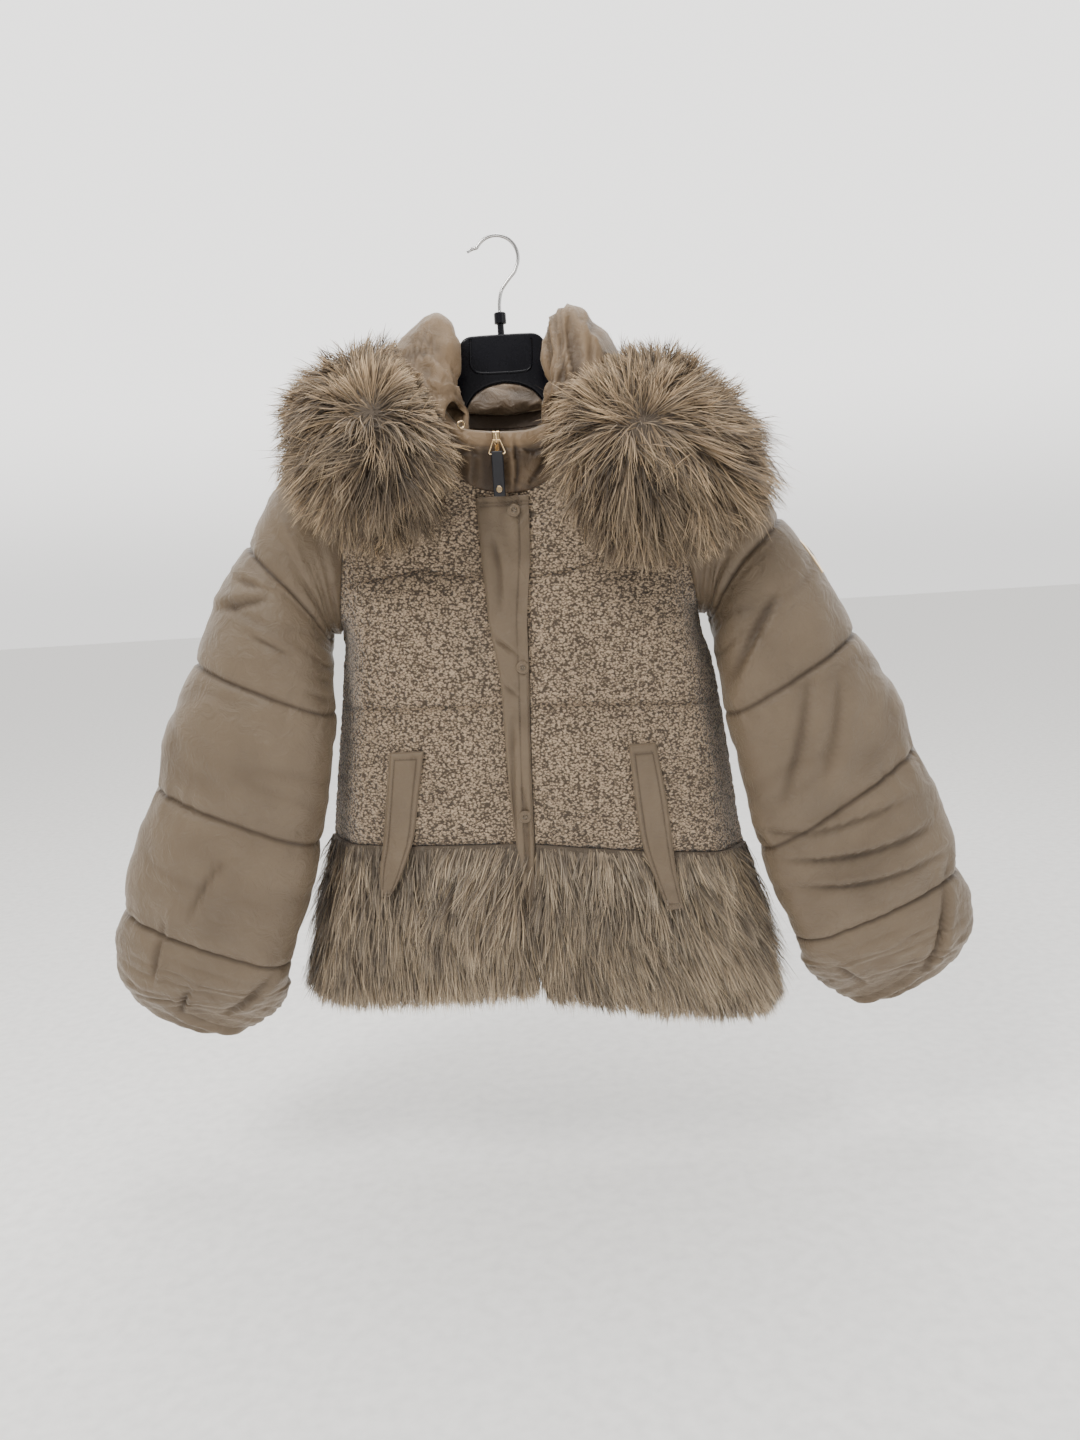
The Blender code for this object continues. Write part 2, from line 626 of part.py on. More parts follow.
def make_sleeve(outer, side):
    inside = [armhole_ring(outer, side, 0)]
    outside = [armhole_ring(outer, side, 1)]
    half_in = (inside[0] + sleeve_ring(side, 1, 0, SLEEVE_WALL)) / 2
    half_out = (outside[0] + sleeve_ring(side, 1, SLEEVE_PUFF)) / 2
    inside += [half_in, sleeve_ring(side, 1, 0, SLEEVE_WALL)]
    outside += [half_out, sleeve_ring(side, 1, SLEEVE_PUFF)]
    for t in SLEEVE_RINGS:
        inset, raised = curve(CUFF_INSET, 1, t), curve(CUFF_INSET, 2, t)
        inside.append(sleeve_ring(side, t, 0, inset, raised))
        between = puff(t % 1, 0.6) if 2 < t < 5 else (puff((t - 5) / 2, 0.6) if t > 5 else puff(t / 2))
        pleat = CUFF_PLEAT * np.clip((t - 5.6) / 2, 0, 1)
        outside.append(sleeve_ring(side, t, SLEEVE_PUFF * between + crease(side, t), pleat=pleat))
    inside, outside = np.array(inside), np.array(outside)
    wall(f"sleeve_{side}", inside, outside, NYLON, closed=True)
    return inside, outside


# === collar and hood ===========================================================================

def neck_loop(outer, which):
    """Points along the neckline from the zip round the back to the zip."""
    fronts = {side: outer[side, False, ""][which][-1, :NECK_COLUMN + 1] for side in (LEFT, RIGHT)}
    backs = {side: outer[side, True, ""][which][-1, :NECK_COLUMN] for side in (LEFT, RIGHT)}
    loop = np.concatenate([fronts[LEFT], backs[LEFT][::-1], backs[RIGHT][1:], fronts[RIGHT][::-1]])
    loop[NECK_COLUMN, 1] = 0
    loop[-NECK_COLUMN - 1, 1] = 0
    return loop


def away_from_panels(inside, outside):
    """Direction across the end faces of the neckline, away from the panels."""
    return unit(np.cross(np.gradient(inside, axis=0), outside - inside))


def loop_angles(loop):
    """Angles of the neckline's points from the front, over the left, the back and the right."""
    angle = np.degrees(np.arctan2(-loop[:, 0], -(loop[:, 1] + 8)))
    angle = np.where(angle < -20, angle + 360, angle)
    late = np.arange(len(loop)) > len(loop) // 2
    return np.where(late & (angle < 180), angle + 360, angle)


def collar_edge(angle):
    """Point of the collar's upper edge at an angle from the front, over the left."""
    turn = np.where(angle > 180, angle - 360, angle)
    x = -curve(COLLAR_TOP, 1, np.abs(turn)) * np.sign(turn)
    return np.stack([x, curve(COLLAR_TOP, 2, np.abs(turn)), curve(COLLAR_TOP, 3, np.abs(turn))], -1)


def make_collar(outer):
    """Stand collar from the zip round the neck to the zip; returns its grids and angles."""
    loop_in, loop_out = neck_loop(outer, 0), neck_loop(outer, 1)
    across = away_from_panels(loop_in, loop_out)
    base_in, base_out = loop_in + across * GAP, loop_out + across * GAP
    angles = loop_angles(loop_in)
    edge = collar_edge(angles)
    rise = np.linspace(0, 1, COLLAR_ROWS)[:, None, None]
    inside = base_in * (1 - rise) + edge * rise
    inside[1:, 0, 0] = base_in[0, 0]
    inside[1:, -1, 0] = base_in[-1, 0]
    out = normals(inside)
    out[:, (0, -1), 0] = 0
    out = unit(out)
    ruffle = COLLAR_RUFFLE * np.where(np.arange(len(angles)) % 2 == 0, 1, -1)[None, :] * rise[..., 0]
    thick = SEAM_WALL + COLLAR_PAD * np.clip(rise[..., 0] * 2, 0, 1) - 2.5 * rise[..., 0] ** 4 + ruffle
    outside = inside + out * thick[..., None]
    outside[0] = base_out
    outside[-1, :, 2] -= 1.5
    wall("collar", inside, outside, COLLAR_CLOTH)
    return inside, outside, angles


def hood_sections(collar_inside, angles, inset):
    """Sections of the hood round the neck, left to right, begun inset from the collar."""
    sections = []
    stations = [(a, LEFT, rest) for a, *rest in HOOD] + [(a, RIGHT, rest) for a, *rest in HOOD[-2::-1]]
    for angle, side, rest in stations:
        place = angle if side == LEFT else 360 - angle
        starts = []
        for row in HOOD_SEAT_ROWS:
            on_collar = [np.interp(place, angles, collar_inside[row, :, c]) for c in range(3)]
            starts.append(on_collar)
        starts = np.array(starts)
        inwards = unit(-starts * (1, 1, 0) + (0, -8, 0))
        starts = starts + inwards * inset
        free = np.array(rest, float) * (SIGN[side], 1, 1)
        sections.append(np.concatenate([starts, free]))
    return np.array(sections)


def hood_grid(collar_inside, angles, inset):
    sections = through(hood_sections(collar_inside, angles, inset), HOOD_STEPS)
    return np.stack([through(section, HOOD_STEPS) for section in sections], 1)


def make_hood(collar_inside, angles):
    """The laid-back hood."""
    grid = hood_grid(collar_inside, angles, HOOD_CLEAR + HOOD_WALL / 2)
    out = normals(grid)
    return wall("hood", grid - out * HOOD_WALL / 2, grid + out * HOOD_WALL / 2, COLLAR_CLOTH)


# === fur of the hood ===========================================================================

def body_core(outer):
    """A form that fills the body out to the middle of its walls."""
    middle = {}
    for back in (False, True):
        for side in (LEFT, RIGHT):
            middle[side, back] = sum(outer[side, back, ""]) / 2
    front, rear = (mirror_back(middle[LEFT, back], middle[RIGHT, back]) for back in (False, True))
    return wall("body_core", front, rear, FUR, owner=CUTTERS)


def sleeve_core(inside, outside, side):
    """A form that fills the sleeve's upper part, begun inside the body."""
    rings = (inside + outside)[:9] / 2
    return np.concatenate([rings[:1] - (SIGN[side] * CORE_OVERLAP, 0, 0), rings])


def collar_core(inside, outside):
    """A form that fills the collar from inside the body to its edge."""
    base = inside[:1] - away_from_panels(inside[0], outside[0]) * CORE_OVERLAP
    return np.concatenate([base, (inside + outside) / 2, inside[-1:]])


def hood_core(collar_inside, angles):
    """A form that fills the room inside the hood's flaps, from the collar up to their crest."""
    return hood_grid(collar_inside, angles, -1)[:HOOD_CREST * HOOD_STEPS + 1]


def rim_room():
    """A round cord along the hood's rim, which keeps the fur off its corners."""
    inside, outside = (grid[-1] for grid in GRIDS["hood"][:2])
    path = (inside + outside) / 2
    up = unit(outside - inside)
    across = unit(np.cross(unit(np.gradient(path, axis=0)), up))
    turn = np.arange(RIM_SIDES)[None, :, None] * 2 * math.pi / RIM_SIDES
    return path[:, None] + RIM_RADIUS * (np.cos(turn) * across[:, None] + np.sin(turn) * up[:, None])


def grow_border(grown, grid, through_wall):
    """Moves the first and last row of a grid outwards by the clearance of the fur."""
    for edge, next_to in ((0, 1), (-1, -2)):
        away = unit(np.cross(np.gradient(grid[edge], axis=0), through_wall[edge]))
        away = away * np.sign(np.sum(away * (grid[edge] - grid[next_to])))
        grown[edge] += away * FUR_SEAT


def room_for(name):
    """A form with a piece's own faces, grown by the clearance of the fur."""
    inside, outside, closed = GRIDS[name]
    through_wall = outside - inside
    points = []
    for grid, towards in ((inside, -through_wall), (outside, through_wall)):
        out = normals(grid, closed)
        grown = grid + out * np.sign(np.sum(out * towards)) * FUR_SEAT
        grow_border(grown, grid, through_wall)
        if name == "hood":
            grow_border(grown.swapaxes(0, 1), grid.swapaxes(0, 1), through_wall.swapaxes(0, 1))
        points.append(grown.reshape(-1, 3))
    faces = [tuple(face.vertices) for face in bpy.data.objects[name].data.polygons]
    return piece(f"room_for_{name}", np.concatenate(points), faces, FUR, CUTTERS)


def fur_rings(side):
    """Oval sections of the fur along its path, seated on the body's side."""
    sign = SIGN[side]
    table = np.array(FUR_TRIMS[side], float)
    path = through(table, 2)
    centre = path[:, :3] * (sign, 1, 1)
    along = unit(np.gradient(centre, axis=0))
    along[-1] = (-sign, 0, 0)
    centre[-1, 0] = sign * GAP / 2
    up = centre * (0.15, 1, 0.6) + (0, 0, 180)
    up[-1, 0] = 0
    up = unit(up - along * np.sum(up * along, -1, keepdims=True))
    across = np.cross(along, up)
    turn = np.arange(FUR_COLUMNS) * 2 * math.pi / FUR_COLUMNS
    wide = path[:, 3, None, None] * np.cos(turn)[None, :, None] * across[:, None]
    tall = path[:, 4, None, None] * np.sin(turn)[None, :, None] * up[:, None]
    return centre[:, None] + wide + tall


# === front opening and pockets =================================================================

def make_placket():
    """Covering strip: flat on the fronts, its free edge turned in between them lower down."""
    z = row_heights(LEFT, False)[0][::2].copy()
    z[0] += 3
    z[-1] -= 2
    attached, free, turned = (curve(PLACKET, c, z) for c in (1, 2, 5))
    share = np.array((0, 0.35, 0.7, 1.0))
    x = attached[:, None] + (free - PLACKET_WALL - attached)[:, None] * share
    lift = PLACKET_GAP + PLACKET_LIFT * share**2
    y = -(depth(LEFT, x, z[:, None]) + SEAM_WALL + lift)
    under = np.stack([x, y, np.broadcast_to(z[:, None], x.shape)], -1)
    over = under + (0, -PLACKET_WALL, 0)
    over[:, -1, 0] += PLACKET_WALL
    last_under, last_over = under[:, -1:].copy(), over[:, -1:].copy()
    last_under[..., 1] += turned[:, None]
    last_over[..., 1] = last_under[..., 1]
    under, over = np.concatenate([under, last_under], 1), np.concatenate([over, last_over], 1)
    wall("placket", under, over, NYLON)
    for number, (snap_x, snap_z) in enumerate(SNAPS, 1):
        y = -(depth(LEFT, snap_x, snap_z) + SEAM_WALL + PLACKET_GAP + PLACKET_LIFT + PLACKET_WALL + GAP)
        button(f"snap_{number}", (snap_x, y, snap_z), (0, -1, 0), SNAP_RADIUS, SNAP_HEIGHT, NYLON)


def front_tree(*names):
    """A ray tree of the outer surfaces of pieces, in millimetres."""
    points, faces = [], []
    for name in names:
        mesh = JACKET.objects[name].data
        faces += [tuple(i + len(points) for i in face.vertices) for face in mesh.polygons]
        points += [vertex.co / MM for vertex in mesh.vertices]
    return BVHTree.FromPolygons(points, faces)


def surface_y(tree, x, z, reach=4.0):
    """The foremost surface near a place, seen from the front."""
    found = []
    for step_x in (-reach, 0, reach):
        for step_z in (-reach, 0, reach):
            hit = tree.ray_cast(Vector((x + step_x, -400, z + step_z)), Vector((0, 1, 0)))[0]
            if hit is not None:
                found.append(hit.y)
    return min(found)


def make_welt(side):
    tree = front_tree(f"front_{side}", f"hem_front_{side}")
    places = through(np.array(POCKETS[side], float), 3)
    share = np.linspace(0, 1, 4)
    x = places[:, 1, None] + (places[:, 2] - places[:, 1])[:, None] * share
    z = np.broadcast_to(places[:, :1], x.shape)
    y = np.array([[surface_y(tree, a, b) for a, b in zip(*row)] for row in zip(x, z)])
    y[1:-1] = (y[:-2] + 2 * y[1:-1] + y[2:]) / 4
    under = np.stack([x, y - WELT_GAP, z], -1)
    wall(f"pocket_welt_{side}", under, under + (0, -WELT_WALL, 0), NYLON)


# === hanger ====================================================================================

def make_hanger():
    """Flat plastic body: a panel under the hook and two arms inside the shoulders."""
    arm_x = ((NECK_SIDE[0], 6), (102, 0), (HANGER_END_X, 0))
    arm_top = [(x, roof_z(x) - HANGER_SEAT - dip) for x, dip in arm_x]
    arm_end = [(HANGER_END_X + 4, arm_top[-1][1] - 8), (HANGER_END_X, arm_top[-1][1] - ARM_HEIGHT)]
    half = list(HANGER_TOP[1:]) + arm_top + arm_end + list(HANGER_BOTTOM)
    outline = [HANGER_TOP[0]] + half + [HANGER_ARCH] + [(-x, z) for x, z in half[::-1]]
    data = bpy.data.curves.new("hanger_body", "CURVE")
    data.dimensions = "2D"
    data.fill_mode = "BOTH"
    spline = data.splines.new("POLY")
    spline.points.add(len(outline) - 1)
    for knot, (x, z) in zip(spline.points, outline):
        knot.co = (x * MM, float(z) * MM, 0, 1)
    spline.use_cyclic_u = True
    data.bevel_depth = HANGER_ROUND * MM
    data.bevel_resolution = 1
    data.offset = -HANGER_ROUND * MM
    data.extrude = (HANGER_THICK / 2 - HANGER_ROUND) * MM
    data.materials.append(PLASTIC)
    obj = bpy.data.objects.new("hanger_body", data)
    obj.rotation_euler = (math.radians(90), 0, 0)
    obj.location = (0, HANGER_Y * MM, 0)
    JACKET.objects.link(obj)


def make_hook():
    middle = WIRE_RADIUS - HOOK_RADIUS
    turn = np.radians(np.arange(-18, 151, 12))
    arc = [(HOOK_RADIUS * math.cos(a), middle + HOOK_RADIUS * math.sin(a)) for a in turn]
    stem = through(np.array(HOOK_STEM), 3)
    bend = ((arc[-1][0] + HOOK_TIP[0]) / 2, (arc[-1][1] + HOOK_TIP[1]) / 2 + 1)
    path = [*stem, *arc, bend, HOOK_TIP]
    wire("hanger_hook", [(x, HANGER_Y, z) for x, z in path], WIRE_RADIUS, STEEL)


def make_size_ring():
    """Turned collar under the hook, left plain, with the neck that enters the hanger."""
    mesh = bpy.data.meshes.new("hanger_size_ring")
    profile = [(0, SIZE_RING[0][1]), *SIZE_RING, (0, SIZE_RING[-1][1])]
    profile = profile[::-1]
    edges = [(i, i + 1) for i in range(len(profile) - 1)]
    mesh.from_pydata([(r * MM, 0, z * MM) for r, z in profile], edges, [])
    obj = bpy.data.objects.new("hanger_size_ring", mesh)
    obj.location = (0, HANGER_Y * MM, 0)
    mesh.materials.append(PLASTIC)
    JACKET.objects.link(obj)
    turn = obj.modifiers.new("turn", "SCREW")
    turn.steps = turn.render_steps = 20
    turn.use_merge_vertices = True
    turn.merge_threshold = 0.00005


# === zip pull and badge ========================================================================

def make_zip(collar_tree):
    """Slider on the collar, its bail, and the pull that swings on it."""
    x, z = SLIDER
    seat = surface_y(collar_tree, x, z, 2.0) - SLIDER_GAP
    wide, deep, high = SLIDER_SIZE
    block("zip_slider", (wide, deep, high), (x, seat - deep / 2, z), Matrix(), GOLD, SLIDER_ROUND)
    face = seat - deep
    bail = [(x, face - away, z + up) for away, up in BAIL]
    wire("zip_bail", bail, BAIL_WIRE, GOLD)
    swing_y, swing_z = face - PULL_AXIS[0], z + PULL_AXIS[1]
    low = swing_z - RING_LENGTH
    half, (corner_x, corner_z) = RING_WIDTH / 2, RING_CORNER
    ring = [(x - RING_NECK, swing_z), (x + RING_NECK, swing_z),
            (x + half, low + corner_z), (x + half - corner_x, low),
            (x - half + corner_x, low), (x - half, low + corner_z)]
    wire("pull_ring", [(a, swing_y, b) for a, b in ring], RING_WIRE, GOLD, cyclic=True)
    top = low + TAB_OVERLAP
    middle = (x, swing_y, top - TAB_LENGTH / 2)
    tab = block("pull_tab", (TAB_WIDTH, TAB_THICK, TAB_LENGTH), middle, Matrix(), LEATHER, TAB_ROUND)
    bpy.ops.mesh.primitive_cylinder_add(vertices=12, radius=TAB_HOLE * MM, depth=3 * TAB_WIDTH * MM)
    hole = bpy.context.object
    hole.name = "tab_hole"
    place = Matrix.Translation(Vector((x, swing_y, low)) * MM)
    hole.matrix_world = place @ Matrix.Rotation(math.pi / 2, 4, "Y")
    for owner in list(hole.users_collection):
        owner.objects.unlink(hole)
    CUTTERS.objects.link(hole)
    hide(hole)
    cut(tab, hole)
    rivet = (x, swing_y - TAB_THICK / 2 - GAP, top - TAB_LENGTH + RIVET_UP)
    button("pull_rivet", rivet, (0, -1, 0), RIVET_RADIUS, RIVET_HEIGHT, GOLD)


def make_badge(sleeve):
    """A bare metal plate that follows the right sleeve just under its first seam."""
    (first, column), (down, aside) = BADGE_PLACE, BADGE_SPAN
    rows = np.linspace(first, first + down, 5)
    columns = np.linspace(column - aside, column + aside, 3)
    low = np.floor(rows).astype(int)
    share = (rows - low)[:, None, None]
    strip = sleeve[low] * (1 - share) + sleeve[low + 1] * share
    left = np.floor(columns).astype(int)
    part = (columns - left)[None, :, None]
    grid = strip[:, left] * (1 - part) + strip[:, left + 1] * part
    out = normals(grid)
    out = out * np.where(np.sum(out[2, 1] * (1, 0, 0)) < 0, -1, 1)
    wall("sleeve_badge", grid + out * BADGE_GAP, grid + out * (BADGE_GAP + BADGE_THICK), GOLD)


# === the model =================================================================================

for old in list(bpy.data.objects):
    bpy.data.objects.remove(old)
JACKET = bpy.data.collections.new("quilted_jacket")
CUTTERS = bpy.data.collections.new("cutters")
GRIDS = {}              # inside, outside and whether it is a tube, for every cloth wall
for collection in (JACKET, CUTTERS):
    bpy.context.scene.collection.children.link(collection)

NYLON = finish("nylon", (0.20, 0.155, 0.11), 0.5)
COLLAR_CLOTH = finish("collar_nylon", (0.24, 0.18, 0.12), 0.5)
BOUCLE = finish("boucle", (0.36, 0.28, 0.19), 0.95)
FUR = finish("fur", (0.22, 0.17, 0.11), 0.9)
PLASTIC = finish("hanger_plastic", (0.012, 0.012, 0.014), 0.25)
STEEL = finish("hook_steel", (0.6, 0.6, 0.6), 0.25, 1.0)
GOLD = finish("gold_metal", (0.8, 0.6, 0.3), 0.3, 1.0)
LEATHER = finish("puller_leather", (0.01, 0.01, 0.012), 0.45)

body = make_body()
sleeves = {side: make_sleeve(body, side) for side in (LEFT, RIGHT)}
collar_inside, collar_outside, collar_angles = make_collar(body)
make_hood(collar_inside, collar_angles)
cutters = [body_core(body), lump("collar_core", collar_core(collar_inside, collar_outside), FUR, CUTTERS)]
cutters.append(lump("hood_core", hood_core(collar_inside, collar_angles), FUR, CUTTERS))
for side in (LEFT, RIGHT):
    cutters.append(lump(f"sleeve_core_{side}", sleeve_core(*sleeves[side], side), FUR, CUTTERS))
for name in ("front_left", "front_right", "back", "collar", "hood", "sleeve_left", "sleeve_right"):
    cutters.append(room_for(name))
cutters.append(lump("rim_room", rim_room(), FUR, CUTTERS))
for cutter in cutters:
    hide(cutter)
for side in (LEFT, RIGHT):
    trim = lump(f"fur_trim_{side}", fur_rings(side), FUR)
    for cutter in cutters:
        if not cutter.name.endswith(OTHER[side]):
            cut(trim, cutter)
make_placket()
make_welt(LEFT)
make_welt(RIGHT)
make_hanger()
make_hook()
make_size_ring()
make_zip(front_tree("collar"))
make_badge(sleeves[RIGHT][1])
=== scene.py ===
"""Looks of a short quilted jacket with a fur hem and a fur-trimmed hood, on a plastic hanger.

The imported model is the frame.  Each sub-assembly is a class that holds its sizes, in
millimetres, and builds its pieces as surfaces worked out with numpy; each finish is a frozen
dataclass that makes its material.  "Left" and "right" are those of somebody who looks at the
front, -Y is the front and +Z is up, as in the frame.
"""

import logging
import math
from dataclasses import dataclass, field
from enum import Enum

import bmesh
import bpy
import numpy as np
from mathutils import Matrix, Vector
from mathutils.bvhtree import BVHTree


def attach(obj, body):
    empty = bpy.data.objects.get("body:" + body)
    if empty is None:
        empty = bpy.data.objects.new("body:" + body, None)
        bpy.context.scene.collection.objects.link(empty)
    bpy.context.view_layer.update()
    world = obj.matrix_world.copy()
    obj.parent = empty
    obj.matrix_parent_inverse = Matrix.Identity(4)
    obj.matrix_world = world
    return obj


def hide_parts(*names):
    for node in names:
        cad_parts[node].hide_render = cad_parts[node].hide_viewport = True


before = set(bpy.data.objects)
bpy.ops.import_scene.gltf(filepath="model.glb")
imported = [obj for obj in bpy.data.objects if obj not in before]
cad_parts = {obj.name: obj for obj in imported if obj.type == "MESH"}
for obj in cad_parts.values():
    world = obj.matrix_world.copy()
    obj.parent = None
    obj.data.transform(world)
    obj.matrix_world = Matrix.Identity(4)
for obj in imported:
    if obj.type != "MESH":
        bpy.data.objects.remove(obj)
LOG = logging.getLogger("jacket")
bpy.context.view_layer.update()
MM = 0.001
GAP = 0.3
BODY = "garment"


class Side(Enum):
    """Which half of the jacket, with the sign of its x."""

    LEFT = -1
    RIGHT = 1

    @property
    def word(self) -> str:
        """The side's name in the names of nodes."""
        return self.name.lower()


# === mathematics of the forms =================================================================

def curve(table, column: int, at) -> np.ndarray:
    """A column of a table as a smooth curve over its first column.

    Formula: a cubic between two rows with the mean of the neighbouring slopes, and a level
    slope where the values turn, so that it never overshoots.

    Args:
        table: rows of numbers; rows with None in the column are left out.
        column: which number of each row is read.
        at: places along the first column.
    Returns:
        The values at those places.
    """
    rows = sorted(row for row in table if row[column] is not None)
    x = np.array([row[0] for row in rows], float)
    y = np.array([row[column] for row in rows], float)
    step = np.diff(y) / np.diff(x)
    slope = np.concatenate([step[:1], (step[:-1] + step[1:]) / 2, step[-1:]])
    slope[1:-1][step[:-1] * step[1:] <= 0] = 0
    at = np.clip(np.asarray(at, float), x[0], x[-1])
    i = np.clip(np.searchsorted(x, at) - 1, 0, len(x) - 2)
    h = x[i + 1] - x[i]
    t = (at - x[i]) / h
    return ((2 * t**3 - 3 * t**2 + 1) * y[i] + (t**3 - 2 * t**2 + t) * h * slope[i]
            + (3 * t**2 - 2 * t**3) * y[i + 1] + (t**3 - t**2) * h * slope[i + 1])


def through(points, count: int) -> np.ndarray:
    """A smooth run of points through given ones, with count steps between two of them."""
    points = np.asarray(points, float)
    table = [(i, *p) for i, p in enumerate(points.reshape(len(points), -1))]
    at = np.linspace(0, len(points) - 1, (len(points) - 1) * count + 1)
    run = np.stack([curve(table, c + 1, at) for c in range(len(table[0]) - 1)], -1)
    return run.reshape(len(at), *points.shape[1:])


def unit(v: np.ndarray) -> np.ndarray:
    """The vectors at length one."""
    return v / np.maximum(np.linalg.norm(v, axis=-1, keepdims=True), 1e-9)


def along_axis(grid: np.ndarray, at: np.ndarray, closed: bool = False) -> np.ndarray:
    """Samples a grid's first axis at broken indices.

    Formula: Catmull-Rom, a cubic through the four nearest rows; the ends repeat, or wrap.

    Args:
        grid: an array whose first axis is sampled.
        at: broken indices.
        closed: whether the axis is a loop.
    Returns:
        The sampled array.
    """
    n = len(grid)
    i = np.floor(at).astype(int)
    if not closed:
        i = np.clip(i, 0, n - 2)
    t = (at - i).reshape(-1, *[1] * (grid.ndim - 1))
    if closed:
        p = [grid[(i + k) % n] for k in (-1, 0, 1, 2)]
    else:
        p = [grid[np.clip(i + k, 0, n - 1)] for k in (-1, 0, 1, 2)]
        p[0] = np.where((i == 0).reshape(t.shape), 2 * p[1] - p[2], p[0])
        p[3] = np.where((i == n - 2).reshape(t.shape), 2 * p[2] - p[1], p[3])
    return 0.5 * (2 * p[1] + (p[2] - p[0]) * t + (2 * p[0] - 5 * p[1] + 4 * p[2] - p[3]) * t**2
                  + (3 * p[1] - p[0] - 3 * p[2] + p[3]) * t**3)


def refine(grid: np.ndarray, rows: np.ndarray, columns: np.ndarray) -> np.ndarray:
    """A grid sampled at broken rows and columns."""
    return along_axis(along_axis(grid, rows).swapaxes(0, 1), columns).swapaxes(0, 1)


def refine_both(grid: np.ndarray, out: np.ndarray, rows: np.ndarray, columns: np.ndarray) -> tuple:
    """A grid and its outward directions, both sampled at broken rows and columns."""
    return refine(grid, rows, columns), unit(refine(out, rows, columns))


def normals(grid: np.ndarray, closed: bool = False) -> np.ndarray:
    """Unit normals of a grid: up its rows crossed with the run of its columns."""
    across = (np.roll(grid, -1, 1) - np.roll(grid, 1, 1)) if closed else np.gradient(grid, axis=1)
    return unit(np.cross(np.gradient(grid, axis=0), across))


def puff(t, power: float = 0.6):
    """Rise and fall of padding between two seams: a sine to a power, for t from 0 to 1."""
    return np.sin(math.pi * np.clip(t, 0, 1)) ** power


def bell(t):
    """A bell curve of height one."""
    return np.exp(-np.square(t))


def smooth(t):
    """Eases from 0 to 1."""
    t = np.clip(t, 0, 1)
    return t * t * (3 - 2 * t)


def noise(points: np.ndarray, scale: float, seed: int = 0) -> np.ndarray:
    """Smooth noise from -1 to 1 over points.

    Formula: every corner of a cubic lattice has a number hashed from its place, and a point
    takes the eased mix of its eight corners.

    Args:
        points: places in millimetres.
        scale: edge of a lattice cell, one length or one for each axis.
        seed: chooses another field.
    Returns:
        One value for each point.
    """
    p = points / np.asarray(scale, float)
    base = np.floor(p).astype(np.int64)
    f = p - base
    f = f * f * (3 - 2 * f)
    total = np.zeros(points.shape[:-1])
    for corner in range(8):
        bit = np.array((corner & 1, corner >> 1 & 1, corner >> 2 & 1))
        q = (base + bit).astype(np.uint64)
        h = (q[..., 0] * np.uint64(73856093) ^ q[..., 1] * np.uint64(19349663)
             ^ q[..., 2] * np.uint64(83492791) ^ np.uint64(seed * 2654435761))
        h = (h ^ (h >> np.uint64(13))) * np.uint64(1274126177)
        h = (h ^ (h >> np.uint64(16))) & np.uint64(0xFFFFFF)
        weight = np.prod(np.where(bit, f, 1 - f), axis=-1)
        total += weight * (h.astype(float) / 0x7FFFFF - 1)
    return total


def layered(points: np.ndarray, scale: float, seed: int = 0, octaves: int = 3) -> np.ndarray:
    """Noise of several scales, each half as large and half as strong as the one before."""
    scale = np.asarray(scale, float)
    return sum(noise(points, scale / 2**k, seed + k) / 2**k for k in range(octaves))


def stirred(points: np.ndarray, scale: float, seed: int) -> np.ndarray:
    """Three fields of noise as one vector for each point."""
    return np.stack([noise(points, scale, seed + k) for k in range(3)], -1)


def stacked(*parts) -> np.ndarray:
    """Numbers or arrays spread to one shape and stacked as coordinates."""
    return np.stack(np.broadcast_arrays(*parts), -1)


def length_along(grid: np.ndarray, axis: int) -> np.ndarray:
    """Distance run over a grid from its first row or column."""
    first = grid[:1] if axis == 0 else grid[:, :1]
    return np.linalg.norm(np.diff(grid, axis=axis, prepend=first), axis=-1).cumsum(axis)


def even(cells_: int, steps: int, first: float = 0) -> np.ndarray:
    """Broken indices over a run of cells, with even steps in each."""
    return np.linspace(first, first + cells_, cells_ * steps + 1)


# === meshes ====================================================================================

def build(name: str, points: np.ndarray, faces: list, looks: list, choice=None, uv=None,
          marks: dict = None) -> bpy.types.Object:
    """A smooth-shaded piece.

    Args:
        name: the piece's name.
        points: its points in millimetres, n by 3.
        faces: arrays of faces, each m by 3 or m by 4.
        looks: its materials.
        choice: the material's number for each array in faces.
        uv: one pair for each point, or None.
        marks: one number for each point, by name, or None.
    Returns:
        The new object at the origin.
    """
    mesh = bpy.data.meshes.new(name)
    mesh.vertices.add(len(points))
    mesh.vertices.foreach_set("co", (points * MM).astype(np.float32).ravel())
    corners = np.concatenate([f.ravel() for f in faces]).astype(np.int32)
    totals = np.concatenate([np.full(len(f), f.shape[1]) for f in faces]).astype(np.int32)
    starts = np.concatenate([[0], np.cumsum(totals)[:-1]]).astype(np.int32)
    mesh.loops.add(len(corners))
    mesh.loops.foreach_set("vertex_index", corners)
    mesh.polygons.add(len(totals))
    mesh.polygons.foreach_set("loop_start", starts)
    mesh.polygons.foreach_set("loop_total", totals)
    mesh.polygons.foreach_set("use_smooth", np.ones(len(totals), bool))
    for look in looks:
        mesh.materials.append(look)
    if choice is not None:
        number = np.concatenate([np.full(len(f), c) for f, c in zip(faces, choice)])
        mesh.polygons.foreach_set("material_index", number.astype(np.int32))
    if uv is not None:
        layer = mesh.uv_layers.new(name="UVMap")
        layer.data.foreach_set("uv", uv[corners].astype(np.float32).ravel())
    for key, values in (marks or {}).items():
        mesh.attributes.new(key, "FLOAT", "POINT").data.foreach_set("value", values.astype(np.float32))
    mesh.update(calc_edges=True)
    mesh.validate()
    piece = bpy.data.objects.new(name, mesh)
    bpy.context.scene.collection.objects.link(piece)
    return piece


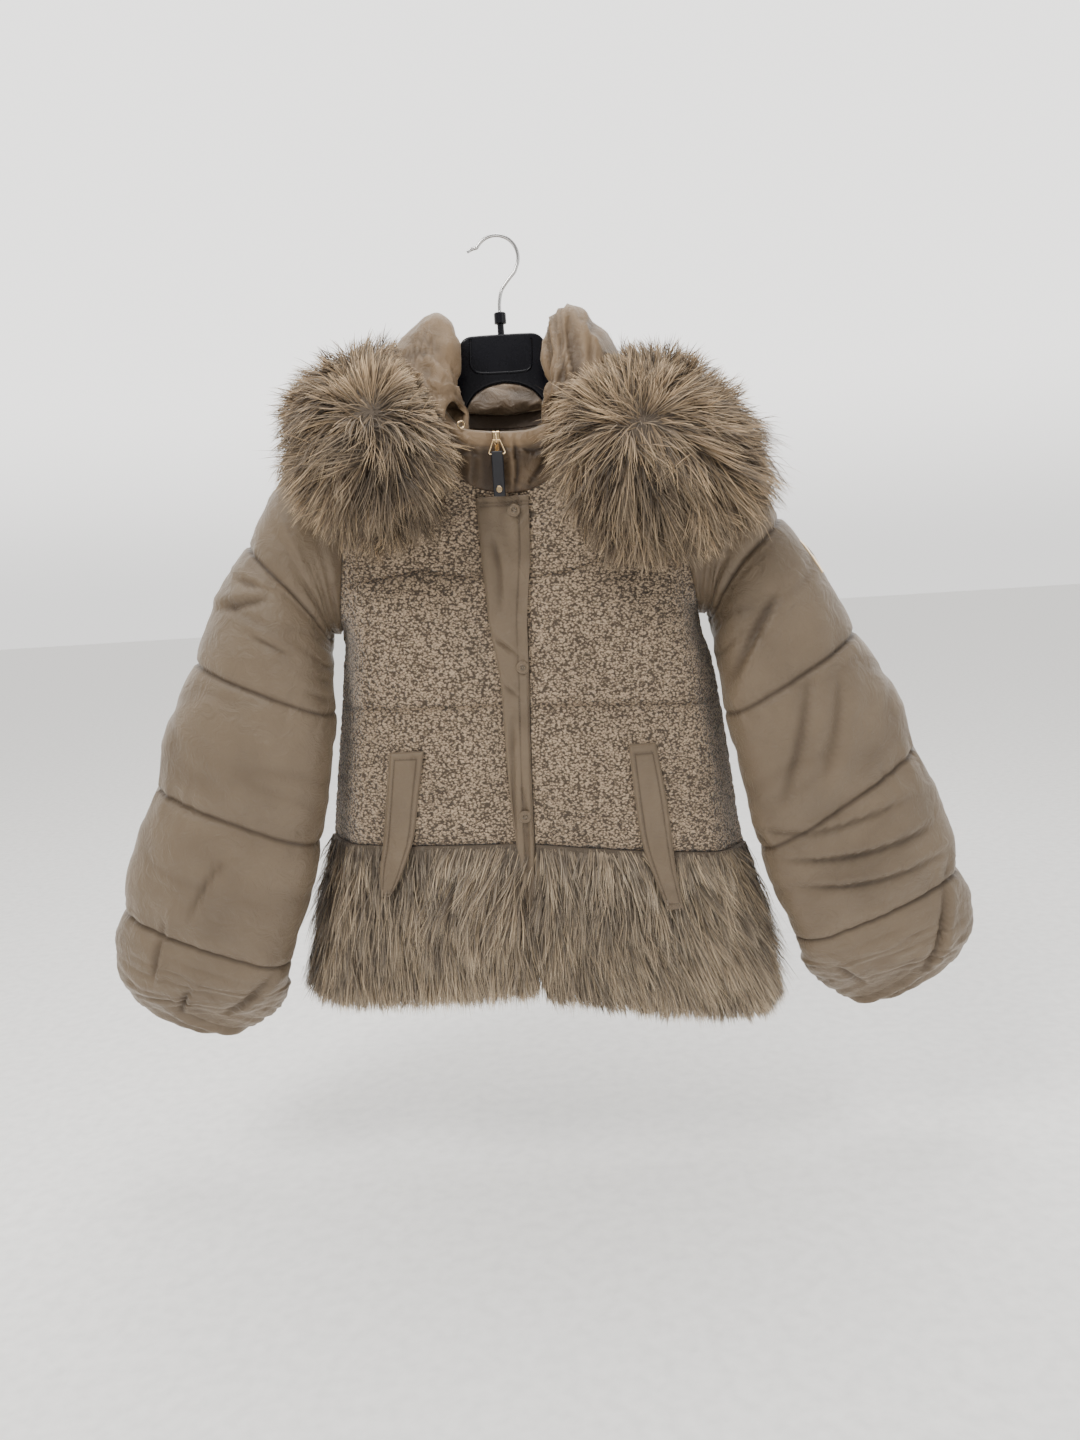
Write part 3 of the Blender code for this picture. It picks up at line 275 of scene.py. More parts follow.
def cells(rows: int, columns: int, start: int = 0, closed: bool = False) -> np.ndarray:
    """Four-cornered faces over a grid of points that is numbered row by row."""
    number = start + np.arange(rows * columns).reshape(rows, columns)
    if closed:
        number = np.concatenate([number, number[:, :1]], axis=1)
    return np.stack([number[:-1, :-1], number[1:, :-1], number[1:, 1:], number[:-1, 1:]], -1).reshape(-1, 4)


def face_out(points: np.ndarray, faces: list) -> list:
    """Turns the faces of a closed form outwards.

    Formula: the form's volume is the sum of the corner products of its triangles; where it is
    negative the faces point inwards.
    """
    volume = 0.0
    for f in faces:
        for k in range(1, f.shape[1] - 1 if len(f) else 1):
            a, b, c = points[f[:, 0]], points[f[:, k]], points[f[:, k + 1]]
            volume += np.sum(a * np.cross(b, c))
    return faces if volume >= 0 else [f[:, ::-1] for f in faces]


def seam(fine: np.ndarray, coarse: np.ndarray) -> np.ndarray:
    """Triangles between a fine and a coarse run of points, one a multiple of the other."""
    many = (len(fine) - 1) // (len(coarse) - 1)
    own = np.repeat(coarse[:-1], many)
    fans = np.stack([fine[:-1], fine[1:], own], -1)
    joins = np.stack([fine[many::many], coarse[1:], coarse[:-1]], -1)
    return np.concatenate([fans, joins])


def wall(outer: np.ndarray, inner: np.ndarray, closed: bool = False) -> tuple:
    """Points and faces of a closed cloth wall: the outer face, the inner one and the edges.

    Args:
        outer: grid of the outer face.
        inner: grid of the inner face; its steps divide those of the outer one.
        closed: whether the columns run round a tube.
    Returns:
        All points, outer ones first, and three arrays of faces.
    """
    rows, columns = outer.shape[:2]
    low_rows, low_columns = inner.shape[:2]
    fine = np.arange(rows * columns).reshape(rows, columns)
    coarse = rows * columns + np.arange(low_rows * low_columns).reshape(low_rows, low_columns)
    wrap = (lambda run: np.concatenate([run, run[:1]])) if closed else (lambda run: run)
    edges = [seam(wrap(fine[0]), wrap(coarse[0])), seam(wrap(fine[-1]), wrap(coarse[-1]))[:, ::-1]]
    if not closed:
        edges += [seam(fine[:, 0], coarse[:, 0])[:, ::-1], seam(fine[:, -1], coarse[:, -1])]
    points = np.concatenate([outer.reshape(-1, 3), inner.reshape(-1, 3)])
    back = cells(low_rows, low_columns, rows * columns, closed)[:, ::-1]
    return points, face_out(points, [cells(rows, columns, 0, closed), back, np.concatenate(edges)])


def panel(name: str, outer: np.ndarray, inner: np.ndarray, looks: list, closed: bool = False,
          marks: dict = None, inside: dict = None) -> bpy.types.Object:
    """A closed cloth wall as a piece.

    Args:
        name: the piece's name.
        outer: grid of the outer face.
        inner: grid of the inner face; its steps divide those of the outer one.
        looks: materials of the outer and the inner face.
        closed: whether the columns run round a tube.
        marks: grids of numbers over the outer face, by name, that its material reads.
        inside: the same over the inner face; what isn't there is 0.
    Returns:
        The piece, with a UV map in metres along its rows and columns.
    """
    points, faces = wall(outer, inner, closed)
    uv = [np.stack([length_along(grid, 1), length_along(grid, 0)], -1).reshape(-1, 2) * MM
          for grid in (outer, inner)]
    none = np.zeros(inner.shape[:2])
    extra = {key: np.concatenate([grid.ravel(), (inside or {}).get(key, none).ravel()])
             for key, grid in (marks or {}).items()}
    return build(name, points, faces, looks, [0, 1, 0], np.concatenate(uv), extra)


def tube(path: np.ndarray, radius, sides: int = 10, closed: bool = False, up=(0, 0, 1)) -> tuple:
    """Rings round a path: circles across its direction.

    Args:
        path: points of the middle line.
        radius: one radius, or one for each point.
        sides: points of a ring.
        closed: whether the path is a loop.
        up: a direction that is never along the path.
    Returns:
        Points and faces; open ends are closed by their own rings.
    """
    ahead = (np.roll(path, -1, 0) - np.roll(path, 1, 0)) if closed else np.gradient(path, axis=0)
    ahead = unit(ahead)
    across = unit(np.cross(ahead, np.asarray(up, float)))
    over = np.cross(across, ahead)
    turn = np.arange(sides) * 2 * math.pi / sides
    radius = np.broadcast_to(np.asarray(radius, float), len(path))[:, None, None]
    ring = np.cos(turn)[:, None] * across[:, None] + np.sin(turn)[:, None] * over[:, None]
    points = (path[:, None] + radius * ring).reshape(-1, 3)
    if closed:
        number = np.arange(len(path) * sides).reshape(len(path), sides)
        number = np.concatenate([number, number[:1]])
        number = np.concatenate([number, number[:, :1]], axis=1)
        quads = np.stack([number[:-1, :-1], number[:-1, 1:], number[1:, 1:], number[1:, :-1]], -1)
        return points, [quads.reshape(-1, 4)]
    quads = cells(len(path), sides, 0, True)
    last = (len(path) - 1) * sides
    fan = np.stack([np.zeros(sides - 2), np.arange(2, sides), np.arange(1, sides - 1)], -1).astype(int)
    return points, [quads, fan, fan[:, ::-1] + last]


def turned(profile, sides: int, place, axis) -> tuple:
    """A turned form: a profile of (radius, height) swept round an axis.

    Args:
        profile: pairs from the bottom of the axis to its top; the first and last radius are 0.
        sides: points round the axis.
        place: the axis' foot.
        axis: its direction.
    Returns:
        Points and faces.
    """
    profile = np.asarray(profile, float)
    axis = unit(np.asarray(axis, float))
    side = unit(np.cross(axis, (0.3, 0.2, 1.0)))
    other = np.cross(axis, side)
    turn = np.arange(sides) * 2 * math.pi / sides
    ring = np.cos(turn)[:, None] * side + np.sin(turn)[:, None] * other
    middle = profile[1:-1]
    points = middle[:, :1, None] * ring[None] + middle[:, 1:, None] * axis
    foot = len(middle) * sides
    points = np.concatenate([points.reshape(-1, 3), [axis * profile[0, 1]], [axis * profile[-1, 1]]])
    around = np.arange(sides)
    following = (around + 1) % sides
    low = np.stack([np.full(sides, foot), following, around], -1)
    top = (len(middle) - 1) * sides
    high = np.stack([np.full(sides, foot + 1), top + around, top + following], -1)
    return points + np.asarray(place, float), [cells(len(middle), sides, 0, True), low, high]


def joined(parts: list) -> tuple:
    """Several (points, faces) as one."""
    points, faces, count = [], [], 0
    for own_points, own_faces in parts:
        points.append(own_points)
        faces += [f + count for f in own_faces]
        count += len(own_points)
    return np.concatenate(points), faces


def closed_form(name: str, form: tuple, look: bpy.types.Material) -> bpy.types.Object:
    """A piece of one finish from the (points, faces) of a closed form."""
    points, faces = form
    return build(name, points, face_out(points, faces), [look])


# === finishes ==================================================================================

class Nodes:
    """A node tree under construction: its nodes, set and linked by short calls."""

    def __init__(self, tree: bpy.types.NodeTree) -> None:
        """Takes the tree to which the nodes go."""
        self.tree = tree

    def node(self, kind: str, **sockets) -> bpy.types.Node:
        """Adds a node and sets or links its sockets by name.

        Args:
            kind: the node's type, without the prefix ShaderNode.
            sockets: values or outputs; a name in lower case is a property of the node, and n
                with a number is the socket of that number.
        Returns:
            The new node.
        """
        return self.fill(self.tree.nodes.new("ShaderNode" + kind), sockets)

    def fill(self, made: bpy.types.Node, sockets: dict) -> bpy.types.Node:
        """Sets or links a node's sockets and returns the node."""
        for key, value in sockets.items():
            if hasattr(made, key) and key.islower():
                setattr(made, key, value)
                continue
            socket = made.inputs[int(key[1:]) if key[0] == "n" and key[1:].isdigit() else key]
            if isinstance(value, bpy.types.NodeSocket):
                self.tree.links.new(value, socket)
            elif socket.type == "RGBA" and len(value) == 3:
                socket.default_value = (*value, 1)
            else:
                socket.default_value = value
        return made


class Effect(Nodes):
    """A node group that several finishes share, with numbers as its inputs and its output."""

    def __init__(self, name: str, output: str, **inputs: float) -> None:
        """Starts a group whose output and inputs have these names and values."""
        super().__init__(bpy.data.node_groups.new(name, "ShaderNodeTree"))
        for label, value in inputs.items():
            socket = self.tree.interface.new_socket(label, in_out="INPUT", socket_type="NodeSocketFloat")
            socket.default_value = value
        self.tree.interface.new_socket(output, in_out="OUTPUT", socket_type="NodeSocketFloat")
        self.given = self.tree.nodes.new("NodeGroupInput").outputs
        self.result = self.tree.nodes.new("NodeGroupOutput").inputs[0]

    def ends_with(self, socket: bpy.types.NodeSocket) -> bpy.types.NodeTree:
        """Links the group's output and returns the finished tree."""
        self.tree.links.new(socket, self.result)
        return self.tree


def make_blotches() -> bpy.types.NodeTree:
    """Shared effect: soft patches of lighter and darker cloth, as a value round one."""
    e = Effect("blotches", "Value", Scale=20.0, Amount=0.2)
    place = e.node("TexCoord").outputs["Object"]
    patches = e.node("TexNoise", Vector=place, Scale=e.given["Scale"], Detail=3.0)
    ends = {f"To {end}": e.node("Math", operation=way, n0=1.0, n1=e.given["Amount"]).outputs[0]
            for end, way in (("Min", "SUBTRACT"), ("Max", "ADD"))}
    spread = e.node("MapRange", Value=patches.outputs["Fac"], **{"From Min": 0.3, "From Max": 0.7}, **ends)
    return e.ends_with(spread.outputs["Result"])


def make_weave() -> bpy.types.NodeTree:
    """Shared effect: a plain weave along the UV map, as a height from 0 to 1."""
    e = Effect("weave", "Height", Threads=2500.0)
    place = e.node("UVMap").outputs["UV"]
    waves = [e.node("TexWave", bands_direction=way, Vector=place, Scale=e.given["Threads"], Distortion=0.6)
             for way in ("X", "Y")]
    both = e.node("Math", operation="MULTIPLY", n0=waves[0].outputs["Fac"], n1=waves[1].outputs["Fac"])
    return e.ends_with(both.outputs[0])


BLOTCHES = make_blotches()
WEAVE = make_weave()
WHITE = (1.0, 1.0, 1.0)


class Shader(Nodes):
    """A material under construction, with its Principled BSDF."""

    def __init__(self, name: str) -> None:
        """Starts a material."""
        self.material = bpy.data.materials.new(name)
        self.material.use_nodes = True
        super().__init__(self.material.node_tree)
        self.surface = self.tree.nodes["Principled BSDF"]

    def number(self, name: str) -> bpy.types.NodeSocket:
        """The number that each point of a mesh carries under a name."""
        return self.node("Attribute", attribute_name=name).outputs["Fac"]

    def ramp(self, value: bpy.types.NodeSocket, *stops: tuple) -> bpy.types.NodeSocket:
        """Colour of a ramp over a value; each stop is (place, colour)."""
        made = self.node("ValToRGB", Fac=value)
        elements = made.color_ramp.elements
        while len(elements) < len(stops):
            elements.new(0.5)
        for element, (place, colour) in zip(elements, stops):
            element.position = place
            element.color = (*colour, 1)
        return made.outputs["Color"]

    def times(self, first, second) -> bpy.types.NodeSocket:
        """Product of two colours."""
        mix = self.node("Mix", data_type="RGBA", blend_type="MULTIPLY", n0=1.0, n6=first, n7=second)
        return mix.outputs[2]

    def patchy(self, colour, scale: float, amount: float) -> bpy.types.NodeSocket:
        """A colour that is a little lighter and darker in soft patches."""
        patches = self.node("Group", node_tree=BLOTCHES, Scale=scale, Amount=amount).outputs[0]
        tone = self.node("CombineColor", Red=patches, Green=patches, Blue=patches)
        return self.times(colour, tone.outputs[0])

    def finish(self, colour, roughness, bump=None, **more) -> bpy.types.Material:
        """Sets the surface and returns the material.

        Args:
            colour: its colour, a value or an output.
            roughness: its roughness, a value or an output.
            bump: the node that gives its normal.
            more: further inputs by name, with _ for a blank.
        """
        sockets = {key.replace("_", " "): value for key, value in more.items()}
        self.fill(self.surface, {"Base Color": colour, "Roughness": roughness, **sockets})
        if bump:
            self.fill(self.surface, {"Normal": bump.outputs[0]})
        return self.material


@dataclass(frozen=True)
class Nylon:
    """Smooth close-woven nylon with a faint sheen and soft small wrinkles."""

    name: str
    colour: tuple
    roughness: float = 0.46
    wrinkle: float = 0.3
    # colour factor of the painted shade where "shade" is 1, in the depth of a seam or crease
    crease: float = 0.3

    def make(self) -> bpy.types.Material:
        """Builds the material; the attribute "shade" is 1 in the depth of a seam or crease, where the colour
        is darkened as painted shade.
        """
        s = Shader(self.name)
        # painted shade: the colour is darkened towards deep as the mark "shade" rises
        deep = (1.15 * self.crease, self.crease, 0.85 * self.crease)
        dark = s.ramp(s.number("shade"), (0.0, WHITE), (1.0, deep))
        colour = s.times(s.patchy(self.colour, 16.0, 0.09), dark)
        creases = s.node("TexNoise", Vector=s.node("TexCoord").outputs["Object"], Scale=55.0, Detail=4.0,
                         Roughness=0.6, Distortion=1.2)
        weave = s.node("Group", node_tree=WEAVE, Threads=1600.0)
        soft = s.node("Bump", Height=creases.outputs["Fac"], Distance=0.004, Strength=self.wrinkle)
        fine = s.node("Bump", Height=weave.outputs[0], Distance=0.0002, Strength=0.25, Normal=soft.outputs[0])
        return s.finish(colour, self.roughness, fine, Sheen_Weight=0.25, Sheen_Roughness=0.4,
                        Sheen_Tint=(0.9, 0.8, 0.68), Specular_IOR_Level=0.35)


@dataclass(frozen=True)
class Boucle:
    """Curly pile: small curls, pale on their tops and darkened between them with painted shade."""

    name: str
    top: tuple
    # colour of the painted shade between the curls
    gap: tuple
    curl: float = 400.0

    def make(self) -> bpy.types.Material:
        """Builds the material; "pile" is the height of the curls, whose low places take painted shade, and
        "shade" marks the seams, which get painted shade.
        """
        s = Shader(self.name)
        place = s.node("TexCoord").outputs["Object"]
        drift = s.node("TexNoise", Vector=place, Scale=330.0, Detail=2.0)
        moved = s.node("VectorMath", operation="MULTIPLY_ADD", n0=drift.outputs["Color"],
                       n1=(0.004, 0.003, 0.003), n2=place)
        flat = s.node("VectorMath", operation="MULTIPLY", n0=moved.outputs[0], n1=(0.85, 1.0, 1.2))
        curl = s.node("TexVoronoi", feature="SMOOTH_F1", Vector=flat.outputs[0], Scale=self.curl,
                      Smoothness=0.2)
        crown = s.node("Math", operation="SUBTRACT", n0=1.0, n1=curl.outputs["Distance"])
        height = s.node("Math", operation="MULTIPLY_ADD", n0=s.number("pile"), n1=0.2, n2=crown.outputs[0])
        half = tuple(0.5 * c for c in self.top)
        # painted shade: the low places of the pile take the dark gap colour, the crowns the pale top
        curls = s.ramp(height.outputs[0], (0.42, self.gap), (0.62, half), (0.85, self.top))
        # painted shade along the seams
        dark = s.ramp(s.number("shade"), (0.0, WHITE), (1.0, (0.6, 0.58, 0.55)))
        bump = s.node("Bump", Height=height.outputs[0], Distance=0.002, Strength=0.9)
        return s.finish(s.times(s.patchy(curls, 11.0, 0.1), dark), 0.9, bump, Sheen_Weight=0.3,
                        Sheen_Roughness=0.5)


@dataclass(frozen=True)
class Hair:
    """Long fur: dark at the root, brown along its length and pale at the tip."""

    name: str
    root: tuple
    middle: tuple
    tip: tuple

    def make(self) -> bpy.types.Material:
        """Builds the material; the UV map holds each hair's tone and the place along it."""
        s = Shader(self.name)
        parts = s.node("SeparateXYZ", Vector=s.node("UVMap").outputs["UV"])
        low = tuple(0.6 * c for c in self.middle)
        length = s.ramp(parts.outputs["Y"], (0.0, self.root), (0.4, low), (0.74, self.middle),
                        (1.0, self.tip))
        tone = s.ramp(parts.outputs["X"], (0.0, (0.34, 0.31, 0.28)), (0.45, (0.9, 0.88, 0.85)),
                      (1.0, (2.3, 2.1, 1.75)))
        return s.finish(s.patchy(s.times(length, tone), 9.0, 0.12), 0.62, Specular_IOR_Level=0.3,
                        Sheen_Weight=0.2, Sheen_Roughness=0.4)


@dataclass(frozen=True)
class Plain:
    """Moulded plastic, metal or leather with a fine grain and soft scuffs."""

    name: str
    colour: tuple
    roughness: float
    metallic: float = 0.0
    grain: float = 900.0
    depth: float = 0.00008
    specular: float = 0.5

    def make(self) -> bpy.types.Material:
        """Builds the material."""
        s = Shader(self.name)
        place = s.node("TexCoord").outputs["Object"]
        grain = s.node("TexNoise", Vector=place, Scale=self.grain, Detail=3.0)
        scuffs = s.node("TexNoise", Vector=place, Scale=60.0, Detail=4.0, Roughness=0.7)
        ends = {"To Min": self.roughness * 0.75, "To Max": min(1.0, self.roughness * 1.35)}
        rough = s.node("MapRange", Value=scuffs.outputs["Fac"], **ends)
        bump = s.node("Bump", Height=grain.outputs["Fac"], Distance=self.depth, Strength=0.5)
        return s.finish(s.patchy(self.colour, 60.0, 0.06), rough.outputs["Result"], bump,
                        Metallic=self.metallic, Specular_IOR_Level=self.specular)


class Look:
    """The jacket's finishes, each made once."""

    nylon = Nylon("taupe_nylon", (0.152, 0.112, 0.073), 0.46, 0.75).make()
    collar = Nylon("collar_nylon", (0.215, 0.145, 0.083), 0.44, 0.6, 0.15).make()
    lining = Nylon("lining_nylon", (0.16, 0.115, 0.078), 0.42, 0.4).make()
    boucle = Boucle("boucle_pile", (0.46, 0.34, 0.225), (0.06, 0.042, 0.026)).make()
    fur = Hair("fur_hair", (0.055, 0.039, 0.026), (0.2, 0.152, 0.104), (0.42, 0.335, 0.235)).make()
    hem_fur = Hair("hem_fur_hair", (0.06, 0.047, 0.035), (0.205, 0.17, 0.132), (0.43, 0.37, 0.295)).make()
    skin = Nylon("fur_backing", (0.085, 0.065, 0.047), 0.9, 0.5).make()
    thread = Nylon("sewing_thread", (0.11, 0.082, 0.056), 0.6, 0.1).make()
    plastic = Plain("black_plastic", (0.008, 0.008, 0.011), 0.26, specular=0.22).make()
    steel = Plain("bright_steel", (0.62, 0.61, 0.6), 0.22, 1.0).make()
    gold = Plain("pale_gold", (0.83, 0.62, 0.36), 0.24, 1.0).make()
    leather = Plain("black_leather", (0.013, 0.013, 0.016), 0.42, grain=700.0, depth=0.0003).make()


# === the body ==================================================================================

@dataclass(frozen=True)
class BodyForm:
    """The jacket's plain inside surface, which every panel and everything on them follows."""

    # z, half width left, half width right, depth to the front, depth to the back
    sections: tuple = (
        (-900, 262, 266, 75, 58), (-800, 252, 254, 77, 58), (-720, 239, 247, 77, 58),
        (-650, 224, 233, 76, 57), (-605, 218, 228, 75, 56), (-543, 209, 221, 73, 54),
        (-497, 202, 215, 71, 52), (-451, 196, 207, 70, 50), (-402, 190, 193, 68, 49),
        (-354, 183, 182, 67, 48), (-300, 176, 177, 66, 47), (-216, 172, 172, 64, 45),
        (-100, 168, 168, 60, 42))
    # row, height at the opening left, right, at the side left, right
    stitching: tuple = (
        (0, -789, -797, -800, -850), (6, -638, -640, -633, -671), (12, -489, -490, -487, -504),
        (19, -354, -356, None, None), (28, -271, -271, None, None))
    # z, attached edge, free edge, edge of the left front, of the right front, turned in
    opening: tuple = (
        (-271, -36, 19, -9, -8.7, 0.5), (-340, -34, 16, -7, -3.5, 0.5),
        (-375, -32, 12, -2.5, 4, 0.5), (-400, -31, 9.5, 3.4, 9.8, 0.5),
        (-430, -27, 8.5, 3.7, 8.9, 0.5), (-460, -23, 8, 3.4, 8.5, 10),
        (-510, -22, 6, 1.4, 6.5, 17), (-570, -21, 4, -0.6, 4.5, 20),
        (-637, -17, 3, -1.6, 3.5, 20), (-720, -12, 3, -1.6, 3.5, 20),
        (-800, -9, 3, -1.6, 3.5, 18), (-860, -8, 4, -0.6, 4.5, 18))
    power: float = 2.7
    armpit_z: float = -402.0
    shoulder_tip: tuple = (172.0, -216.0)
    neck_side: tuple = (84.0, -180.0)
    neck_front_z: float = -271.0
    neck_back_z: float = -193.0
    roof_depth: float = 62.0
    lip: float = 4.0
    armhole_swell: float = 46.0
    seam_wall: float = 3.0
    seam_row: int = 6
    armpit_row: int = 16
    top_row: int = 28
    neck_column: int = 4
    side_column: int = 8

    @property
    def arm_rows(self) -> int:
        """Rows from the armpit to the shoulder."""
        return self.top_row - self.armpit_row

    def roof_z(self, x) -> np.ndarray:
        """Height of the shoulder line at a half width: straight, and flatter over the neck."""
        (tip_x, tip_z), (neck_x, neck_z) = self.shoulder_tip, self.neck_side
        x = np.abs(x)
        return neck_z + np.where(x > neck_x, (x - neck_x) * (tip_z - neck_z) / (tip_x - neck_x),
                                 (neck_x - x) * 0.25)

    def half_width(self, side: Side, z) -> np.ndarray:
        """Half width of the inside at a height."""
        return curve(self.sections, 1 if side is Side.LEFT else 2, z)

    def depth(self, side: Side, x, z, back: bool = False) -> np.ndarray:
        """Distance of the inside from the plane of the side seams.

        Formula: the section's depth times a superellipse of the half width, times a quarter
        circle that closes the form under the shoulder line.
        """
        arm = np.clip((z - self.armpit_z) / (self.shoulder_tip[1] - self.armpit_z), 0, 1)
        swell = self.armhole_swell * np.sin(math.pi * arm / 2) ** 0.7
        ratio = np.clip(np.abs(x) / (self.half_width(side, z) + swell), 0, 1)
        section = (1 - ratio**self.power) ** (1 / self.power)
        under = np.clip((self.roof_z(x) - z) / self.roof_depth, 0, 1)
        return curve(self.sections, 4 if back else 3, z) * section * np.sqrt(1 - (1 - under) ** 2)

    def front_y(self, x, z, lift: float = 0.0) -> np.ndarray:
        """The plain front's outside over the opening, plus a lift towards the viewer."""
        return -(self.depth(Side.LEFT, x, z) + self.seam_wall + lift)

    def row_heights(self, side: Side, back: bool = False) -> tuple:
        """Heights of the grid rows at the centre and at the side edge."""
        rows = np.arange(self.top_row + 1)
        left, right = (curve(self.stitching, column, rows) for column in (1, 2))
        centre = (left + right) / 2 if back else (left if side is Side.LEFT else right)
        if back:
            rise = self.neck_back_z - self.neck_front_z
            centre = centre + rise * np.clip((rows - 12) / (self.top_row - 12), 0, 1) ** 1.5
        low = [row for row in self.stitching if row[3] is not None]
        low.append((self.armpit_row, 0, 0, self.armpit_z, self.armpit_z))
        edge = curve(low, 3 if side is Side.LEFT else 4, rows)
        edge[self.armpit_row:] = np.linspace(self.armpit_z, self.shoulder_tip[1], self.arm_rows + 1)
        return centre, edge

    def grid(self, side: Side, back: bool = False) -> np.ndarray:
        """Inside surface of half the body: rows upwards, columns from the centre to the side.

        Formula: rows run straight from the opening to the side; above the armpit they are drawn
        up step by step to the neckline's circle and the shoulder line.
        """
        sign = side.value
        centre_z, edge_z = self.row_heights(side, back)
        rows = len(centre_z)
        columns = np.arange(self.side_column + 1)
        edge_x = self.half_width(side, edge_z) * sign
        edge_x[self.armpit_row:] += self.lip * sign
        if back:
            start = np.zeros(rows)
            second = edge_x / self.side_column
        else:
            left = side is Side.LEFT
            start = curve(self.opening, 3 if left else 4, centre_z)
            second = curve(self.opening, 1 if left else 2, centre_z) + GAP * sign
            second = np.where((second - start) * sign < 4, start + 4 * sign, second)
        v = (columns - 1) / (self.side_column - 1)
        x = second[:, None] + (edge_x - second)[:, None] * v
        x[:, 0] = start
        share = (x - start[:, None]) / (edge_x - start)[:, None]
        z = centre_z[:, None] + (edge_z - centre_z)[:, None] * share
        neck_x, neck_z = self.neck_side
        reach = np.array([start[-1], second[-1]])
        reach = np.abs(reach) if back else reach * sign
        first = math.asin(reach[1] / neck_x)
        turn = first + (math.pi / 2 - first) * (columns - 1) / (self.neck_column - 1)
        over = (columns - self.neck_column) / (self.side_column - self.neck_column)
        top_x = np.where(columns <= self.neck_column, neck_x * np.sin(turn),
                         neck_x + (self.shoulder_tip[0] - neck_x) * over)
        top_x[0] = reach[0]
        bow = np.sqrt(np.clip(1 - (top_x / neck_x) ** 2, 0, 1))
        low_z = self.neck_back_z if back else self.neck_front_z
        top_z = np.where(columns <= self.neck_column, neck_z + (low_z - neck_z) * bow, self.roof_z(top_x))
        lift = np.clip((np.arange(rows) - self.armpit_row) / self.arm_rows, 0, 1)[:, None] ** 1.25
        x = x + lift * (top_x * sign - x[-1])
        z = z + lift * (top_z - z[-1])
        y = np.maximum(self.depth(side, x, z, back), GAP / 2)
        y[:self.armpit_row + 1, -1] = GAP / 2
        y[-1, self.neck_column:] = GAP / 2
        return np.stack([x, y if back else -y, z], -1)

    def outward(self, grid: np.ndarray, side: Side, back: bool = False) -> np.ndarray:
        """Outward directions over a grid; on the seams they keep to the neighbours' plane."""
        sign = side.value
        x, z = grid[..., 0], grid[..., 2]
        fall_x = (self.depth(side, x + 1, z, back) - self.depth(side, x - 1, z, back)) / 2
        fall_z = (self.depth(side, x, z + 1, back) - self.depth(side, x, z - 1, back)) / 2
        out = unit(np.stack([-fall_x, np.full_like(x, 1.0 if back else -1.0), -fall_z], -1))
        out[:self.armpit_row, -1] = (sign, 0, 0)
        out[self.armpit_row - 1, -1] = unit(np.array((sign, 0, -1.0)))
        arm = grid[self.armpit_row:, -1]
        round_arm = (arm - (arm[0] + arm[-1]) / 2) * np.array((0, 1.6, 1.0))
        round_arm[0] = (sign * 0.5, 0, -0.87)
        round_arm[-1] = (0, 0, 1)
        out[self.armpit_row:, -1] = unit(round_arm)
        (tip_x, tip_z), (neck_x, neck_z) = self.shoulder_tip, self.neck_side
        slope = (tip_z - neck_z) / (tip_x - neck_x)
        out[-1, self.neck_column:-1] = unit(np.array((-slope * sign, 0, 1.0)))
        if back:
            out[:, 0, 0] = 0
        return unit(out)

    def edge_walls(self, side: Side, back: bool) -> tuple:
        """Plain inside grid and the same moved out by the seam's wall."""
        inside = self.grid(side, back)
        return inside, inside + self.outward(inside, side, back) * self.seam_wall


